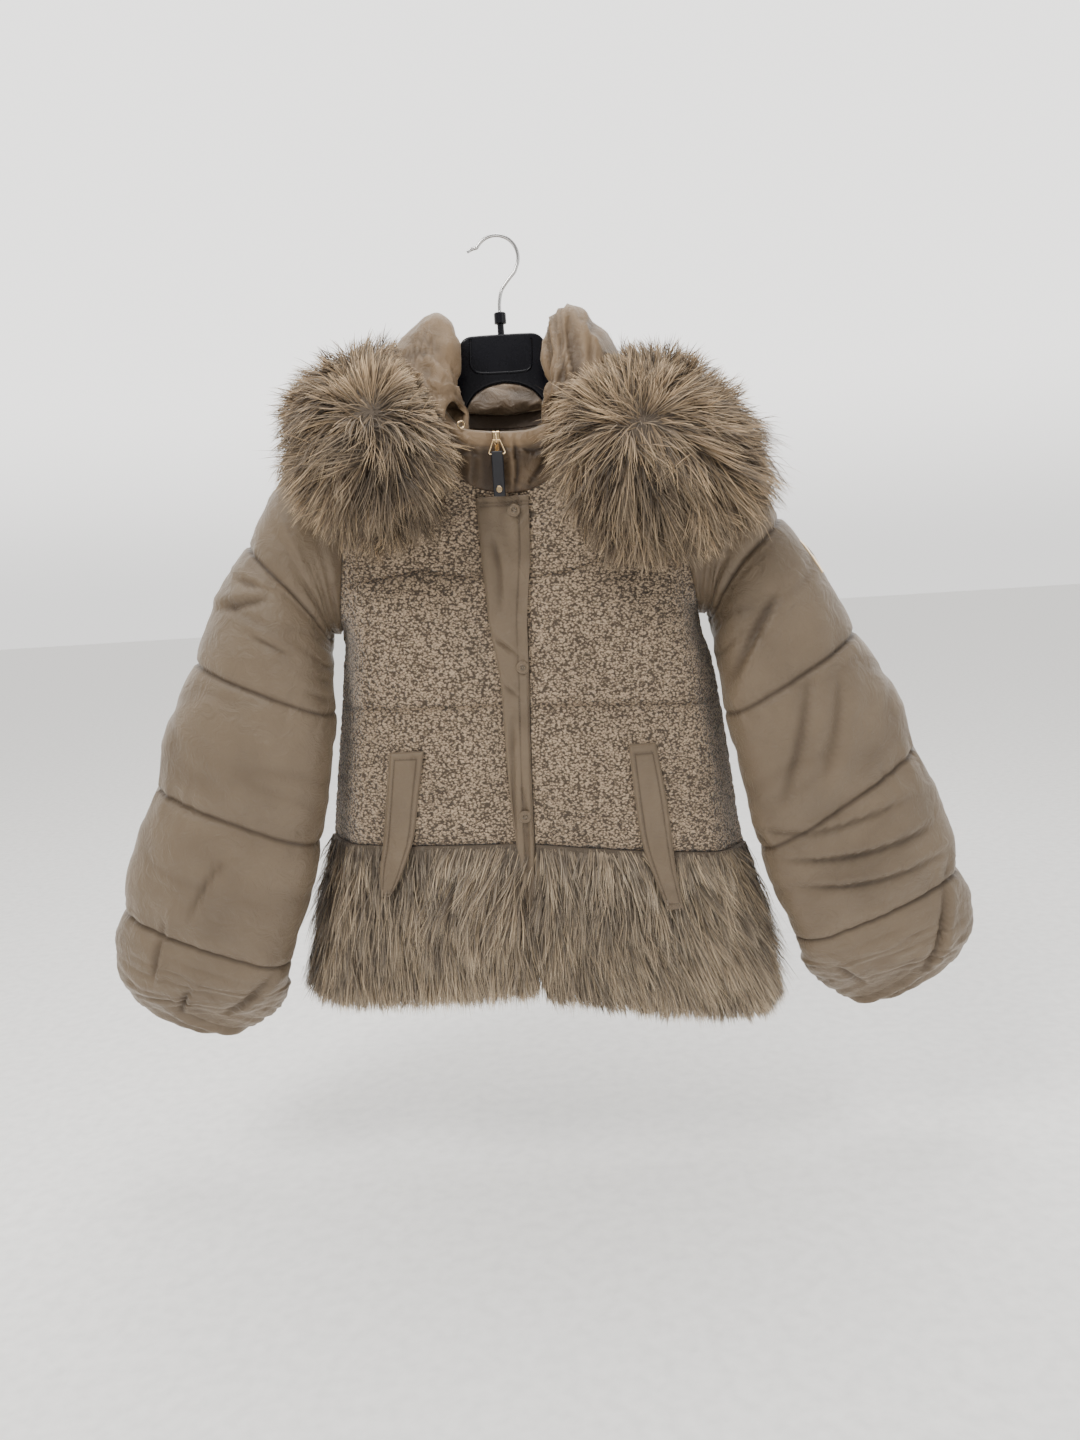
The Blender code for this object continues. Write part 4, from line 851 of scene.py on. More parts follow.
@dataclass
class Body:
    """Boucle fronts and back, and the cloth under the fur of the hem."""

    form: BodyForm
    puff: float = 8.0
    per_row: int = 12
    per_column: int = 14
    per_cell_back: int = 10
    per_cell_hem: int = 8
    lining_step: int = 4
    pile: float = 1.5
    pile_level: float = 0.62        # share of the pile that lies under the plain surface
    curl: float = 3.4
    fur_reach: float = 22.0
    fur_side_reach: float = 17.0
    fur_top_reach: float = 6.0
    hem_hairs: int = 22000
    hem_height: float = 152.0

    def shell(self, side: Side, back: bool) -> tuple:
        """Coarse inside grid and outward directions of a front, or of the whole back."""
        form = self.form
        if not back:
            inside = form.grid(side)
            return inside, form.outward(inside, side)
        halves = []
        for half in Side:
            inside = form.grid(half, True)
            halves.append((inside, form.outward(inside, half, True)))
        return tuple(np.concatenate([a[:, ::-1], b[:, 1:]], axis=1) for a, b in zip(*halves))

    def swell(self, rows: np.ndarray, columns: np.ndarray, back: bool) -> np.ndarray:
        """Padding over the rows, from seam to seam, flat beside the opening and at the side."""
        seams = [row[0] for row in self.form.stitching if row[0] >= self.form.seam_row]
        rise = np.zeros_like(rows)
        for low, high in zip(seams, seams[1:]):
            share = (rows - low) / (high - low)
            calm = np.clip((1 - share) * 2.5, 0, 1) if high == seams[-1] else 1.0
            rise = np.where((rows > low) & (rows < high), puff(share, 0.5) * calm, rise)
        across = np.abs(columns - self.form.side_column) if back else columns
        centre = 1.0 if back else smooth(across - 1)
        side = np.interp(across, (6, 7, 8), (1, 0.7, 0))
        return rise[:, None] * (centre * side)[None, :]

    def curls(self, points: np.ndarray, seed: int) -> np.ndarray:
        """Curly pile from 0 to 1: ridges of noise whose places are stirred by finer noise."""
        stir = stirred(points, 4.5, seed + 1) * 1.6
        ridge = 1 - 2.2 * np.abs(noise(points + stir, self.curl, seed))
        return np.clip(0.7 * ridge + 0.35 * noise(points, self.curl * 0.8, seed + 5) + 0.2, 0, 1)

    def boucle(self, name: str, side: Side, back: bool, seed: int) -> bpy.types.Object:
        """One quilted boucle panel."""
        form = self.form
        inside, out = self.shell(side, back)
        per_row, per_column = (self.per_cell_back,) * 2 if back else (self.per_row, self.per_column)
        rows = even(form.top_row - form.seam_row, per_row, form.seam_row)
        columns = even(inside.shape[1] - 1, per_column)
        fine, way = refine_both(inside, out, rows, columns)
        pad = self.swell(rows, columns, back)
        pile = self.curls(fine, seed)
        lumps = layered(fine, 26.0, seed + 9)
        if not back:
            pile[:, :2] *= 0.5
        height = form.seam_wall + self.puff * pad * (1 + 0.1 * lumps) + self.pile * (pile - self.pile_level)
        folds = 0.9 * layered(fine, (30.0, 60.0, 14.0), seed + 20, 2) * pad
        outer = fine + way * (height + folds)[..., None]
        step = self.lining_step
        seams = [row[0] for row in form.stitching if form.seam_row <= row[0] < form.top_row]
        # painted shade along the quilting seams, weaker in the last three columns
        shade = sum(bell((rows - row) / 0.16) for row in seams)[:, None] * np.ones_like(pile)
        shade[:, -3:] *= 0.4
        piece = panel(f"{name}_boucle", outer, fine[::step, ::step], [Look.boucle, Look.lining],
                      marks={"pile": pile, "shade": shade})
        return dressed(piece, "boucle", name, padded=0.5)

    def hem_backing(self, side: Side, back: bool) -> tuple:
        """Fine grid of the hem's inside, of the cloth under its fur and of its outward ways."""
        form = self.form
        inside, out = self.shell(side, back)
        rows, columns = (even(n, self.per_cell_hem) for n in (form.seam_row, inside.shape[1] - 1))
        fine, way = refine_both(inside, out, rows, columns)
        fine[-1, :, 2] -= GAP
        flare = np.clip((form.seam_row - rows) / form.seam_row, 0, 1)[:, None] ** 0.55
        across = np.abs(columns - form.side_column) if back else columns
        reach = self.fur_top_reach + (self.fur_reach - self.fur_top_reach) * flare
        reach = reach + (self.fur_side_reach - self.fur_reach) * flare * (across / form.side_column) ** 2
        edge = 1.0 if back else smooth(np.clip(across, 0, 1.4) / 1.4)
        return fine, form.seam_wall + 0.42 * reach * edge, way, reach * edge

    def hem(self, name: str, side: Side, back: bool, seed: int) -> bpy.types.Object:
        """A hem panel: lined cloth, and long straight hair that hangs from it in small locks."""
        hair = Hairs(seed=seed, length=62, width=1.0, lock=6, gather=0.4, wild=0.11, bends=(0.0, 0.56, 1.0),
                     lock_tone=0.07, hair_tone=0.23)
        count = self.hem_hairs
        inside, thick, way, reach = self.hem_backing(side, back)
        outer = inside + way * thick[..., None]
        roots, tops, places = hair.scatter(outer, way, count)
        room = sample(reach, places)
        height = sample(np.broadcast_to(np.linspace(0, 1, len(outer))[:, None], reach.shape), places)
        sweep = noise(roots, 75.0, 5) * 0.25 + 0.1 * side.value * (not back)
        if side is Side.RIGHT and not back:
            sweep = sweep + 0.3 * smooth((roots[:, 0] - 150) / 120)
        flow = unit(stacked(sweep, 0.0, -1.0))
        tall = np.clip(height * self.hem_height + 16, 20, hair.length) * hair.rng.uniform(0.75, 1.1, count)
        tall = tall * (1 - 0.45 * smooth((height - 0.8) / 0.2))
        top = smooth((height - 0.72) / 0.26)
        tousled = stacked(noise(roots, 30.0, 6), 0.0, noise(roots, 30.0, 7))
        flow = unit(flow + top[:, None] * 0.55 * tousled)
        # lighter towards the bottom; the top band just under the boucle seam is darkened as painted shade
        tone = 0.08 + 0.12 * (1 - height) - 0.08 * smooth((height - 0.93) / 0.07)
        blades = hair.blades(roots, tops, flow, tall, np.clip(room * 0.62, 2.5, 16), tone, 0.55 * top)
        piece = hairy(f"{name}_fur", wall(outer, inside[::2, ::2]), blades, Look.hem_fur)
        return dressed(piece, "fur", name, padded=0.4)

    def make(self) -> None:
        """Builds the three boucle panels and the three hem panels."""
        for number, side in enumerate(Side):
            self.boucle(f"front_{side.word}", side, False, 11 + number)
            self.hem(f"hem_front_{side.word}", side, False, 40 + number)
        self.boucle("back", Side.LEFT, True, 15)
        self.hem("hem_back", Side.LEFT, True, 44)


# === fur =======================================================================================

def sample(values: np.ndarray, places: np.ndarray) -> np.ndarray:
    """Bilinear values of a grid at broken (row, column) places."""
    r, c = places[:, 0], places[:, 1]
    i = np.clip(r.astype(int), 0, values.shape[0] - 2)
    j = np.clip(c.astype(int), 0, values.shape[1] - 2)
    extra = (1,) * (values.ndim - 2)
    a, b = (r - i).reshape(-1, *extra), (c - j).reshape(-1, *extra)
    return (values[i, j] * (1 - a) * (1 - b) + values[i + 1, j] * a * (1 - b)
            + values[i, j + 1] * (1 - a) * b + values[i + 1, j + 1] * a * b)


@dataclass
class Hairs:
    """Long hair as narrow tapered blades, gathered in locks."""

    seed: int
    length: float = 40.0
    width: float = 1.25
    lock: int = 9           # hairs of a lock
    tuft: int = 110         # hairs of a tuft, which is a group of locks
    gather: float = 0.58
    wild: float = 0.13
    sway: float = 0.15
    curl: float = 3.5       # how far locks wave from side to side
    bends: tuple = (0.0, 0.42, 0.74, 1.0)
    lock_tone: float = 0.12
    hair_tone: float = 0.17
    front: float = -158.0
    back: float = 172.0
    rng: np.random.Generator = field(init=False)

    def __post_init__(self) -> None:
        """Seeds the hair's own random numbers."""
        self.rng = np.random.default_rng(self.seed)

    def scatter(self, grid: np.ndarray, way: np.ndarray, count: int) -> tuple:
        """Roots spread evenly over a grid.

        Formula: cells are drawn with a chance that grows with their area.

        Returns:
            Root points, outward directions and (row, column) places.
        """
        down, over = np.diff(grid, axis=0)[:, :-1], np.diff(grid, axis=1)[:-1]
        area = np.linalg.norm(np.cross(down, over), axis=-1)
        chosen = self.rng.choice(area.size, count, p=area.ravel() / area.sum())
        row, column = np.divmod(chosen, area.shape[1])
        places = np.stack([row + self.rng.random(count), column + self.rng.random(count)], -1)
        return sample(grid, places), unit(sample(way, places)), places

    def over_faces(self, corners: np.ndarray, ways: np.ndarray, count: int) -> tuple:
        """Roots spread evenly over triangles, with the corners' directions mixed."""
        first, second, third = corners.swapaxes(0, 1)
        area = np.linalg.norm(np.cross(second - first, third - first), axis=-1)
        chosen = self.rng.choice(len(area), count, p=area / area.sum())
        u, v = self.rng.random(count), self.rng.random(count)
        fold = u + v > 1
        u, v = np.where(fold, 1 - u, u), np.where(fold, 1 - v, v)
        share = np.stack([1 - u - v, u, v], -1)[..., None]
        return (corners[chosen] * share).sum(1), unit((ways[chosen] * share).sum(1))

    def nearest(self, points: np.ndarray, centres: np.ndarray) -> np.ndarray:
        """Number of the centre nearest to each point."""
        found = []
        for start in range(0, len(points), 4000):
            part = points[start:start + 4000].astype(np.float32)
            gap = (part**2).sum(1)[:, None] - 2 * part @ centres.T.astype(np.float32) + (centres**2).sum(1)
            found.append(gap.argmin(1))
        return np.concatenate(found)

    def groups(self, roots: np.ndarray) -> tuple:
        """Locks and tufts: for each hair the number of its lock, and its lock's and tuft's leader."""
        count = len(roots)
        leaders = self.rng.choice(count, count // self.lock, replace=False)
        chiefs = leaders[:max(4, count // self.tuft)]
        own = self.nearest(roots, roots[leaders])
        over = chiefs[self.nearest(roots[leaders], roots[chiefs])]
        return own, leaders, over

    def blades(self, roots: np.ndarray, out: np.ndarray, flow: np.ndarray, tall: np.ndarray,
               lift: np.ndarray, tone=0.0, pale=0.0) -> tuple:
        """Hair from its roots.

        Formula: each hair is a quadratic curve that leaves its root outwards and bends into the
        flow; its end is drawn towards the end of its lock, which is drawn towards that of its
        tuft; its width tapers to a point, and it bends along what is before and behind it.

        Args:
            roots: where the hair starts.
            out: outward directions there.
            flow: directions in which the hair lies.
            tall: length of each hair.
            lift: how high above its root each hair lies.
            tone: added lightness.
            pale: how far up its colours each hair begins, from 0 to 1.
        Returns:
            Points, faces and UV pairs (tone of the hair, place along it).
        """
        count = len(roots)
        own, leaders, over = self.groups(roots)
        high = self.rng.uniform(0.55, 1.3, len(leaders))[own]
        long = self.rng.uniform(0.74, 1.2, len(leaders))[own]
        loose = self.rng.normal(0, self.wild, (count, 3))
        sway = self.rng.normal(0, self.sway, (len(leaders), 3))[own]
        flow = unit(flow - out * np.sum(flow * out, -1, keepdims=True) * 0.72 + loose + sway)
        rise = out * (lift * high * self.rng.uniform(0.75, 1.15, count))[:, None]
        tall = tall * long
        middle = roots + flow * (tall * 0.38)[:, None] + rise * 1.1
        end = roots + flow * tall[:, None] + rise * 0.75
        ends, middles = end[leaders], middle[leaders]
        ends = ends + (end[over] - ends) * 0.38
        middles = middles + (middle[over] - middles) * 0.15
        pull = self.gather * self.rng.uniform(0.65, 1.15, count)[:, None]
        end = end + (ends[own] + (end - roots) * 0.16 - end) * pull
        middle = middle + (middles[own] - middle) * pull * 0.45
        wave = noise(roots, 26.0, self.seed)[:, None] * np.cross(out, flow) * self.curl
        middle = middle + wave
        end = end - wave
        for bent in (middle, end):
            y = bent[:, 1]
            bent[:, 1] = np.where(y < self.front, self.front, np.where(y > self.back, self.back, y))
        bends = np.array(self.bends)
        last = len(bends) - 1
        s = bends[None, :, None]
        path = roots[:, None] * (1 - s) ** 2 + 2 * middle[:, None] * s * (1 - s) + end[:, None] * s**2
        face = unit(out + self.rng.normal(0, 0.35, (count, 3)))
        across = unit(np.cross(flow, face)) * (self.width / 2 * self.rng.uniform(0.6, 1.25, count))[:, None]
        taper = (1 - 0.75 * bends[:last] ** 2)[None, :, None]
        left, right = path[:, :last] - across[:, None] * taper, path[:, :last] + across[:, None] * taper
        points = np.concatenate([left, right, path[:, last:]], axis=1).reshape(-1, 3)
        base = np.arange(count)[:, None] * (2 * last + 1)
        quads = np.concatenate([base + (k, k + last, k + last + 1, k + 1) for k in range(last - 1)])
        tips = base + np.array((last - 1, 2 * last - 1, 2 * last))
        shade = (0.44 + tone + self.lock_tone * self.rng.normal(size=len(leaders))[own]
                 + self.hair_tone * self.rng.normal(size=count))
        # locks that stand higher are painted lighter and lower ones darker, as painted light and shade
        shade = np.clip(shade + 0.2 * noise(roots, 24.0, self.seed + 3) + 0.12 * (high - 0.9), 0, 1)
        along = np.concatenate([bends[:last], bends])[None]
        start = np.broadcast_to(pale, count)[:, None]
        uv = np.stack([np.repeat(shade, 2 * last + 1), (start + (1 - start) * along).ravel()], -1)
        return points, [quads, tips], uv


def hairy(name: str, backing: tuple, blades: tuple, look: bpy.types.Material) -> bpy.types.Object:
    """One piece of a backing and the hair on it; the backing's second run of faces is lining."""
    points, faces = backing
    hair_points, hair_faces, hair_uv = blades
    uv = np.concatenate([np.zeros((len(points), 2)), hair_uv])
    choice = [1, 2, 1][:len(faces)] + [0] * len(hair_faces)
    faces = faces + [f + len(points) for f in hair_faces]
    looks = [look, Look.skin, Look.lining]
    return build(name, np.concatenate([points, hair_points]), faces, looks, choice, uv)


@dataclass
class HoodFur:
    """Thick fur along the hood's rim: from the chest over the shoulder to the centre back."""

    side: Side
    path: tuple
    whorl: tuple
    # a line in (x, z) beside the neck that the hair doesn't cross, and the way across it
    bound: tuple
    beyond: tuple
    count: int = 26500
    shrink: float = 0.86
    seated: float = 2.5             # a face this near to the cloth carries no hair
    pushed_back: float = 0.85       # share by which the backing keeps behind the line

    def spine(self) -> tuple:
        """The middle line of the fur and its directions away from the body."""
        centre = through(self.path, 4) * (self.side.value, 1, 1)
        return centre, unit(centre * (0.15, 1, 0.6) + (0, 0, 180))

    def neighbour_gaps(self, places: np.ndarray) -> np.ndarray:
        """Distance from places on the fur's solid to the cloth that carries it."""
        side = self.side.word
        tree = tree_of(f"front_{side}", "back", f"sleeve_{side}", "collar", "hood")
        return np.array([tree.find_nearest(Vector(place))[3] for place in places])

    def make(self) -> bpy.types.Object:
        """Builds the fur on the form that the frame keeps free for it."""
        name = f"fur_trim_{self.side.word}"
        hair = Hairs(seed=60 + self.side.value, length=64, width=1.0, lock=12, gather=0.36, wild=0.2,
                     sway=0.28, curl=8.0, hair_tone=0.24, lock_tone=0.12)
        points, triangles = merged(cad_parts[name])
        centre, up = self.spine()
        own = hair.nearest(points, centre)
        ways = vertex_ways(points, triangles)
        free = triangles[self.neighbour_gaps(points[triangles].mean(1)) > self.seated]
        points = centre[own] + (points - centre[own]) * self.shrink
        bound, cross = np.array(self.bound), np.array(self.beyond)
        over = np.maximum((points[:, [0, 2]] - bound) @ cross, 0) * smooth((10 - points[:, 1]) / 50)
        points[:, [0, 2]] -= over[:, None] * self.pushed_back * cross
        roots, out = hair.over_faces(points[free], ways[free], self.count)
        own = hair.nearest(roots, centre)
        front = smooth((-roots[:, 1] - 10) / 70)[:, None]
        radial = roots - np.array(self.whorl, float)
        radial[:, 1] *= 0.3
        sideways = roots - centre[own]
        behind = smooth((roots[:, 1] - 40) / 60)[:, None]
        flow = unit(radial) * front + unit(sideways) * (1 - front) * (1 - 0.6 * behind)
        below = smooth(-radial[:, 2:] / 60 + 0.3)
        flow = flow - (0.16 + 0.5 * below) * (0, 0, 1) - behind * (0, 0, 0.7)
        flow = flow + stirred(roots, 62.0, 70) * 0.6
        flow = flow + stirred(roots, 26.0, 80) * 0.36
        seat = np.sum(unit(flow) * up[own], -1, keepdims=True)
        flow = unit(flow) + up[own] * np.maximum(0, -0.12 - seat)
        rim = np.abs(np.sum(unit(flow) * out, -1))
        away = np.linalg.norm(radial, axis=1)
        tall = hair.length * hair.rng.uniform(0.7, 1.1, self.count) * (1 - 0.56 * smooth(rim * 1.2))
        tall = tall * (0.7 + 0.3 * smooth(away / 60)) * (1 - 0.3 * behind[:, 0])
        room = (bound - roots[:, [0, 2]]) @ cross + 4 + 200 * smooth((roots[:, 1] + 30) / 30)
        head_on = np.clip(unit(flow)[:, [0, 2]] @ cross, 0.12, 1)
        tall = np.minimum(tall, np.maximum(room / head_on, 9))
        # painted light: hair whose root faces up is lighter, and hair that faces down is darkened as painted
        # shade; hair is also lighter farther from the whorl
        tone = 0.28 * smooth(out[:, 2] * 1.3) - 0.14 * smooth(-out[:, 2] * 1.4)
        tone = tone + 0.12 * smooth((away - 50) / 50) - 0.1
        pale = 0.35 * smooth((48 - away) / 48) * front[:, 0]
        blades = hair.blades(roots, out, flow, tall, 10.0 - 5.0 * behind[:, 0], tone, pale)
        piece = hairy(f"{name}_hair", (points, [triangles]), blades, Look.fur)
        return dressed(piece, "fur", name, padded=0.8)


def merged(node: bpy.types.Object) -> tuple:
    """A copy of a frame node's mesh with its loose triangles merged, in millimetres."""
    work = bmesh.new()
    work.from_mesh(node.data)
    bmesh.ops.remove_doubles(work, verts=work.verts, dist=1e-6)
    mesh = bpy.data.meshes.new("merged")
    work.to_mesh(mesh)
    work.free()
    mesh.calc_loop_triangles()
    points = np.empty(len(mesh.vertices) * 3)
    mesh.vertices.foreach_get("co", points)
    triangles = np.empty(len(mesh.loop_triangles) * 3, np.int32)
    mesh.loop_triangles.foreach_get("vertices", triangles)
    bpy.data.meshes.remove(mesh)
    return points.reshape(-1, 3) / MM, triangles.reshape(-1, 3)


def vertex_ways(points: np.ndarray, triangles: np.ndarray) -> np.ndarray:
    """Outward directions at the points of a closed form: the mean of the faces around them."""
    a, b, c = (points[triangles[:, k]] for k in range(3))
    face = np.cross(b - a, c - a)
    ways = np.zeros_like(points)
    for k in range(3):
        np.add.at(ways, triangles[:, k], face)
    return unit(ways)


def tree_of(*names: str) -> BVHTree:
    """A search tree over frame nodes, in millimetres."""
    solids = [merged(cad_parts[name]) for name in names]
    points, faces = joined([(points, [triangles]) for points, triangles in solids])
    return BVHTree.FromPolygons(points.tolist(), np.concatenate(faces).tolist())


# === sleeves ===================================================================================

@dataclass(frozen=True)
class Fold:
    """A crease given as a line in (x, z), how deep it presses in and how wide it is."""

    path: tuple
    deep: float
    wide: float

    def relief(self, points: np.ndarray) -> np.ndarray:
        """Trough along the line with a ridge on its upper side, fading at both ends.

        Formula: a bell over the distance from each part of the line, less a lower bell beside
        it; where parts overlap the strongest counts.
        """
        place = points[..., [0, 2]]
        total = np.zeros(points.shape[:-1])
        knots = through(np.array(self.path, float), 4) if len(self.path) > 2 else np.linspace(*self.path, 7)
        last = len(knots) - 1
        for number, (a, b) in enumerate(zip(knots, knots[1:])):
            run = b - a
            t = np.clip(((place - a) @ run) / (run @ run), 0, 1)
            away = place - a - t[..., None] * run
            side = (away @ np.array((-run[1], run[0]))) / np.linalg.norm(run)
            far = np.linalg.norm(away, axis=-1)
            fade = np.sin(math.pi * np.clip((number + t) / last, 0.02, 0.98)) ** 0.5
            line = -bell(far / self.wide) + 0.55 * bell((side - 2.0 * self.wide) / (1.3 * self.wide)) * (
                far < 6 * self.wide)
            total = np.where(np.abs(line * fade) > np.abs(total), line * fade, total)
        return total * self.deep


@dataclass
class Sleeve:
    """A puffed, quilted sleeve from the armhole to its gathered cuff."""

    side: Side
    form: BodyForm
    # ring, outer x, outer z, inner x, inner z, dip under the arm, centre y, half depth
    table: tuple
    folds: tuple
    puff: float = 8.0
    wall: float = 8.0
    power: float = 2.3
    cuff_inset: tuple = ((1, 8, 0), (5, 8, 0), (6, 9, 3), (7, 9, 9), (8, 3, 13), (9, -2, 15), (10, 0, 7))
    lean: tuple = ((1, 0), (2, 8), (3, 30), (5, 30), (6, 12), (7, 0), (10, 0))
    pucker: float = 2.4
    crease: float = 1.5
    seams: tuple = (2, 3, 4, 5)
    seam_depth: float = 1.9
    columns: int = 168
    steps: tuple = ((0, 2, 34), (2, 3, 32), (3, 4, 32), (4, 5, 32), (5, 7, 40), (7, 10, 22))

    def loop(self, outer: bool, count: int) -> np.ndarray:
        """Points on the armhole: shoulder, front, armpit, back."""
        rows = slice(self.form.armpit_row, None)
        front, back = (self.form.edge_walls(self.side, b)[int(outer)][rows, -1] for b in (False, True))
        ring = np.concatenate([front[::-1], back[1:-1]])
        ring[(0, self.form.arm_rows), 1] = 0
        ring[:, 0] += self.side.value * GAP
        return along_axis(ring, np.arange(count) * len(ring) / count, True)

    def rings(self, t: np.ndarray, count: int, inset=0.0, raised=0.0) -> np.ndarray:
        """Ovals between the silhouette's outer and inner edge, at places of the table.

        Formula: a superellipse whose one axis runs from edge to edge and whose other is along y.
        """
        t = np.atleast_1d(t)
        outer_x, outer_z, inner_x, inner_z, dip, middle, deep = (
            curve(self.table, c, t)[:, None] for c in range(1, 8))
        turn = np.arange(count)[None, :] * 2 * math.pi / count
        cos, sin = np.cos(turn), np.sin(turn)
        round_x = np.sign(cos) * np.abs(cos) ** (2 / self.power)
        round_y = np.sign(sin) * np.abs(sin) ** (2 / self.power)
        inner = (1 - cos) / 2
        long = np.hypot(outer_x - inner_x, outer_z - inner_z) / 2
        inset, raised = np.atleast_1d(inset)[:, None], np.atleast_1d(raised)[:, None]
        along = (long - inset) / long * round_x
        x = (outer_x + inner_x) / 2 + (outer_x - inner_x) / 2 * along
        z = (outer_z + inner_z) / 2 + (outer_z - inner_z) / 2 * along + dip * inner**5 + raised
        y = middle - (deep - inset) * round_y - curve(self.lean, 1, t)[:, None] * inner**2
        return np.stack([x * self.side.value, y, z], -1)

    def tube(self, t: np.ndarray, count: int, outer: bool) -> np.ndarray:
        """Plain outer or inner surface; before ring 1 it runs straight from the armhole."""
        if outer:
            body = self.rings(np.maximum(t, 1), count)
            first = self.rings(1.0, count)
        else:
            inset, raised = (curve(self.cuff_inset, c, t) for c in (1, 2))
            body = self.rings(np.maximum(t, 1), count, np.where(t < 1.5, self.wall, inset), raised)
            first = self.rings(1.0, count, self.wall)
        share = np.clip(t, 0, 1)[:, None, None]
        start = self.loop(outer, count)[None]
        return np.where(t[:, None, None] < 1, start * (1 - share) + first * share, body)

    def places(self, thin: int = 1) -> np.ndarray:
        """Places along the sleeve, closest together where the cuff curls in."""
        parts = [np.linspace(a, b, n // thin + 1)[:-1] for a, b, n in self.steps]
        return np.concatenate([*parts, [10.0]])

    def quilting(self, t: np.ndarray) -> np.ndarray:
        """Rise of the padding between two seams."""
        low = np.where(t < 2, 0, np.where(t > 5, 5, np.floor(t)))
        span = np.where(t < 2, 2, np.where(t > 5, 2.0, 1))
        return puff((t - low) / span, 0.55) * np.where(t > 7, 0, 1)

    def puckers(self, t: np.ndarray, girth: np.ndarray) -> np.ndarray:
        """Short gathers that stand square to each seam, strongest near it."""
        near = np.max([bell((t - seam_t) / 0.17) for seam_t in self.seams], axis=0)
        place = stacked(girth, np.round(np.clip(t, 2, 5))[:, None] * 40, t[:, None] * 60)
        fine = noise(place, (8.0, 20.0, 30.0), 3) + 0.8 * noise(place, (17.0, 20.0, 48.0), 4)
        uneven = 0.6 + 0.6 * noise(place, (60.0, 20.0, 60.0), 5)
        return near[:, None] * fine * self.pucker * uneven

    def make(self) -> bpy.types.Object:
        """Builds the sleeve."""
        t, count = self.places(), self.columns
        plain = self.tube(t, count, True)
        out = normals(plain, True)
        centre = plain.mean(1, keepdims=True)
        if np.sum(out * (plain - centre)) < 0:
            out = -out
        inner = (1 - np.cos(np.arange(count) * 2 * math.pi / count)) / 2
        girth = np.linalg.norm(plain - np.roll(plain, 1, 1), axis=-1).cumsum(1)
        pad = self.quilting(t)[:, None]
        rise = self.puff * pad * (1 - 0.85 * inner**3)
        front = smooth((-out[..., 1] + 0.25) / 0.6)
        relief = self.crease * sum(fold.relief(plain) for fold in self.folds) * front
        flow = stacked(girth, t[:, None] * 130, plain[..., 1] * 0.2)
        slack = 2.3 * layered(flow, (75.0, 34.0, 60.0), 21, 3) + 1.2 * noise(flow, (26.0, 70.0, 60.0), 27)
        sharp = 1 - 2 * np.abs(noise(flow, (90.0, 26.0, 60.0), 35))
        ditch = np.clip(sharp - 0.45, 0, 1) * (1 + noise(flow, 60.0, 36))
        slack = slack - 2.3 * ditch
        hidden = (1 - front) * 2.2 * layered(flow, (34.0, 90.0, 60.0), 31, 2)
        seams = sum(bell((t - s) / 0.02) for s in self.seams)[:, None]
        hemmed = np.clip((t - 5.5) / 1.3, 0, 1)[:, None] * (1 - smooth((t - 8.5) / 1.5))[:, None]
        place = stacked(girth, 7.0, t[:, None] * 30)
        gathers = hemmed * (3.6 * noise(place, (19.0, 9.0, 60.0), 41)
                            + 2.0 * noise(place, (9.0, 9.0, 45.0), 43))
        start = smooth(t / 0.5)[:, None]
        calm = (0.35 + 0.65 * pad) * start * (1 - smooth((t - 8) / 2))[:, None]
        total = rise + (relief + slack + hidden) * calm + gathers + self.puckers(t, girth)
        total = total - self.seam_depth * seams * start
        total = np.maximum(total * smooth((10 - t) / 0.6)[:, None], -2.6)
        outer = plain + out * total[..., None]
        # painted shade in the seams, the creases, the ridged ditches and the gathers at the cuff
        shade = np.clip(seams * 0.95 * start + (np.clip(-relief - 1.0, 0, 3) * 0.21 + 0.35 * ditch) * calm
                        + np.clip(-gathers - 1.2, 0, 3) * 0.2, 0, 1)
        inside = self.tube(self.places(2), count // 4, False)
        name = f"sleeve_{self.side.word}"
        piece = panel(f"{name}_cloth", outer, inside, [Look.nylon, Look.lining], True, {"shade": shade})
        return dressed(piece, "nylon", name, padded=0.7)


# === collar and hood ===========================================================================

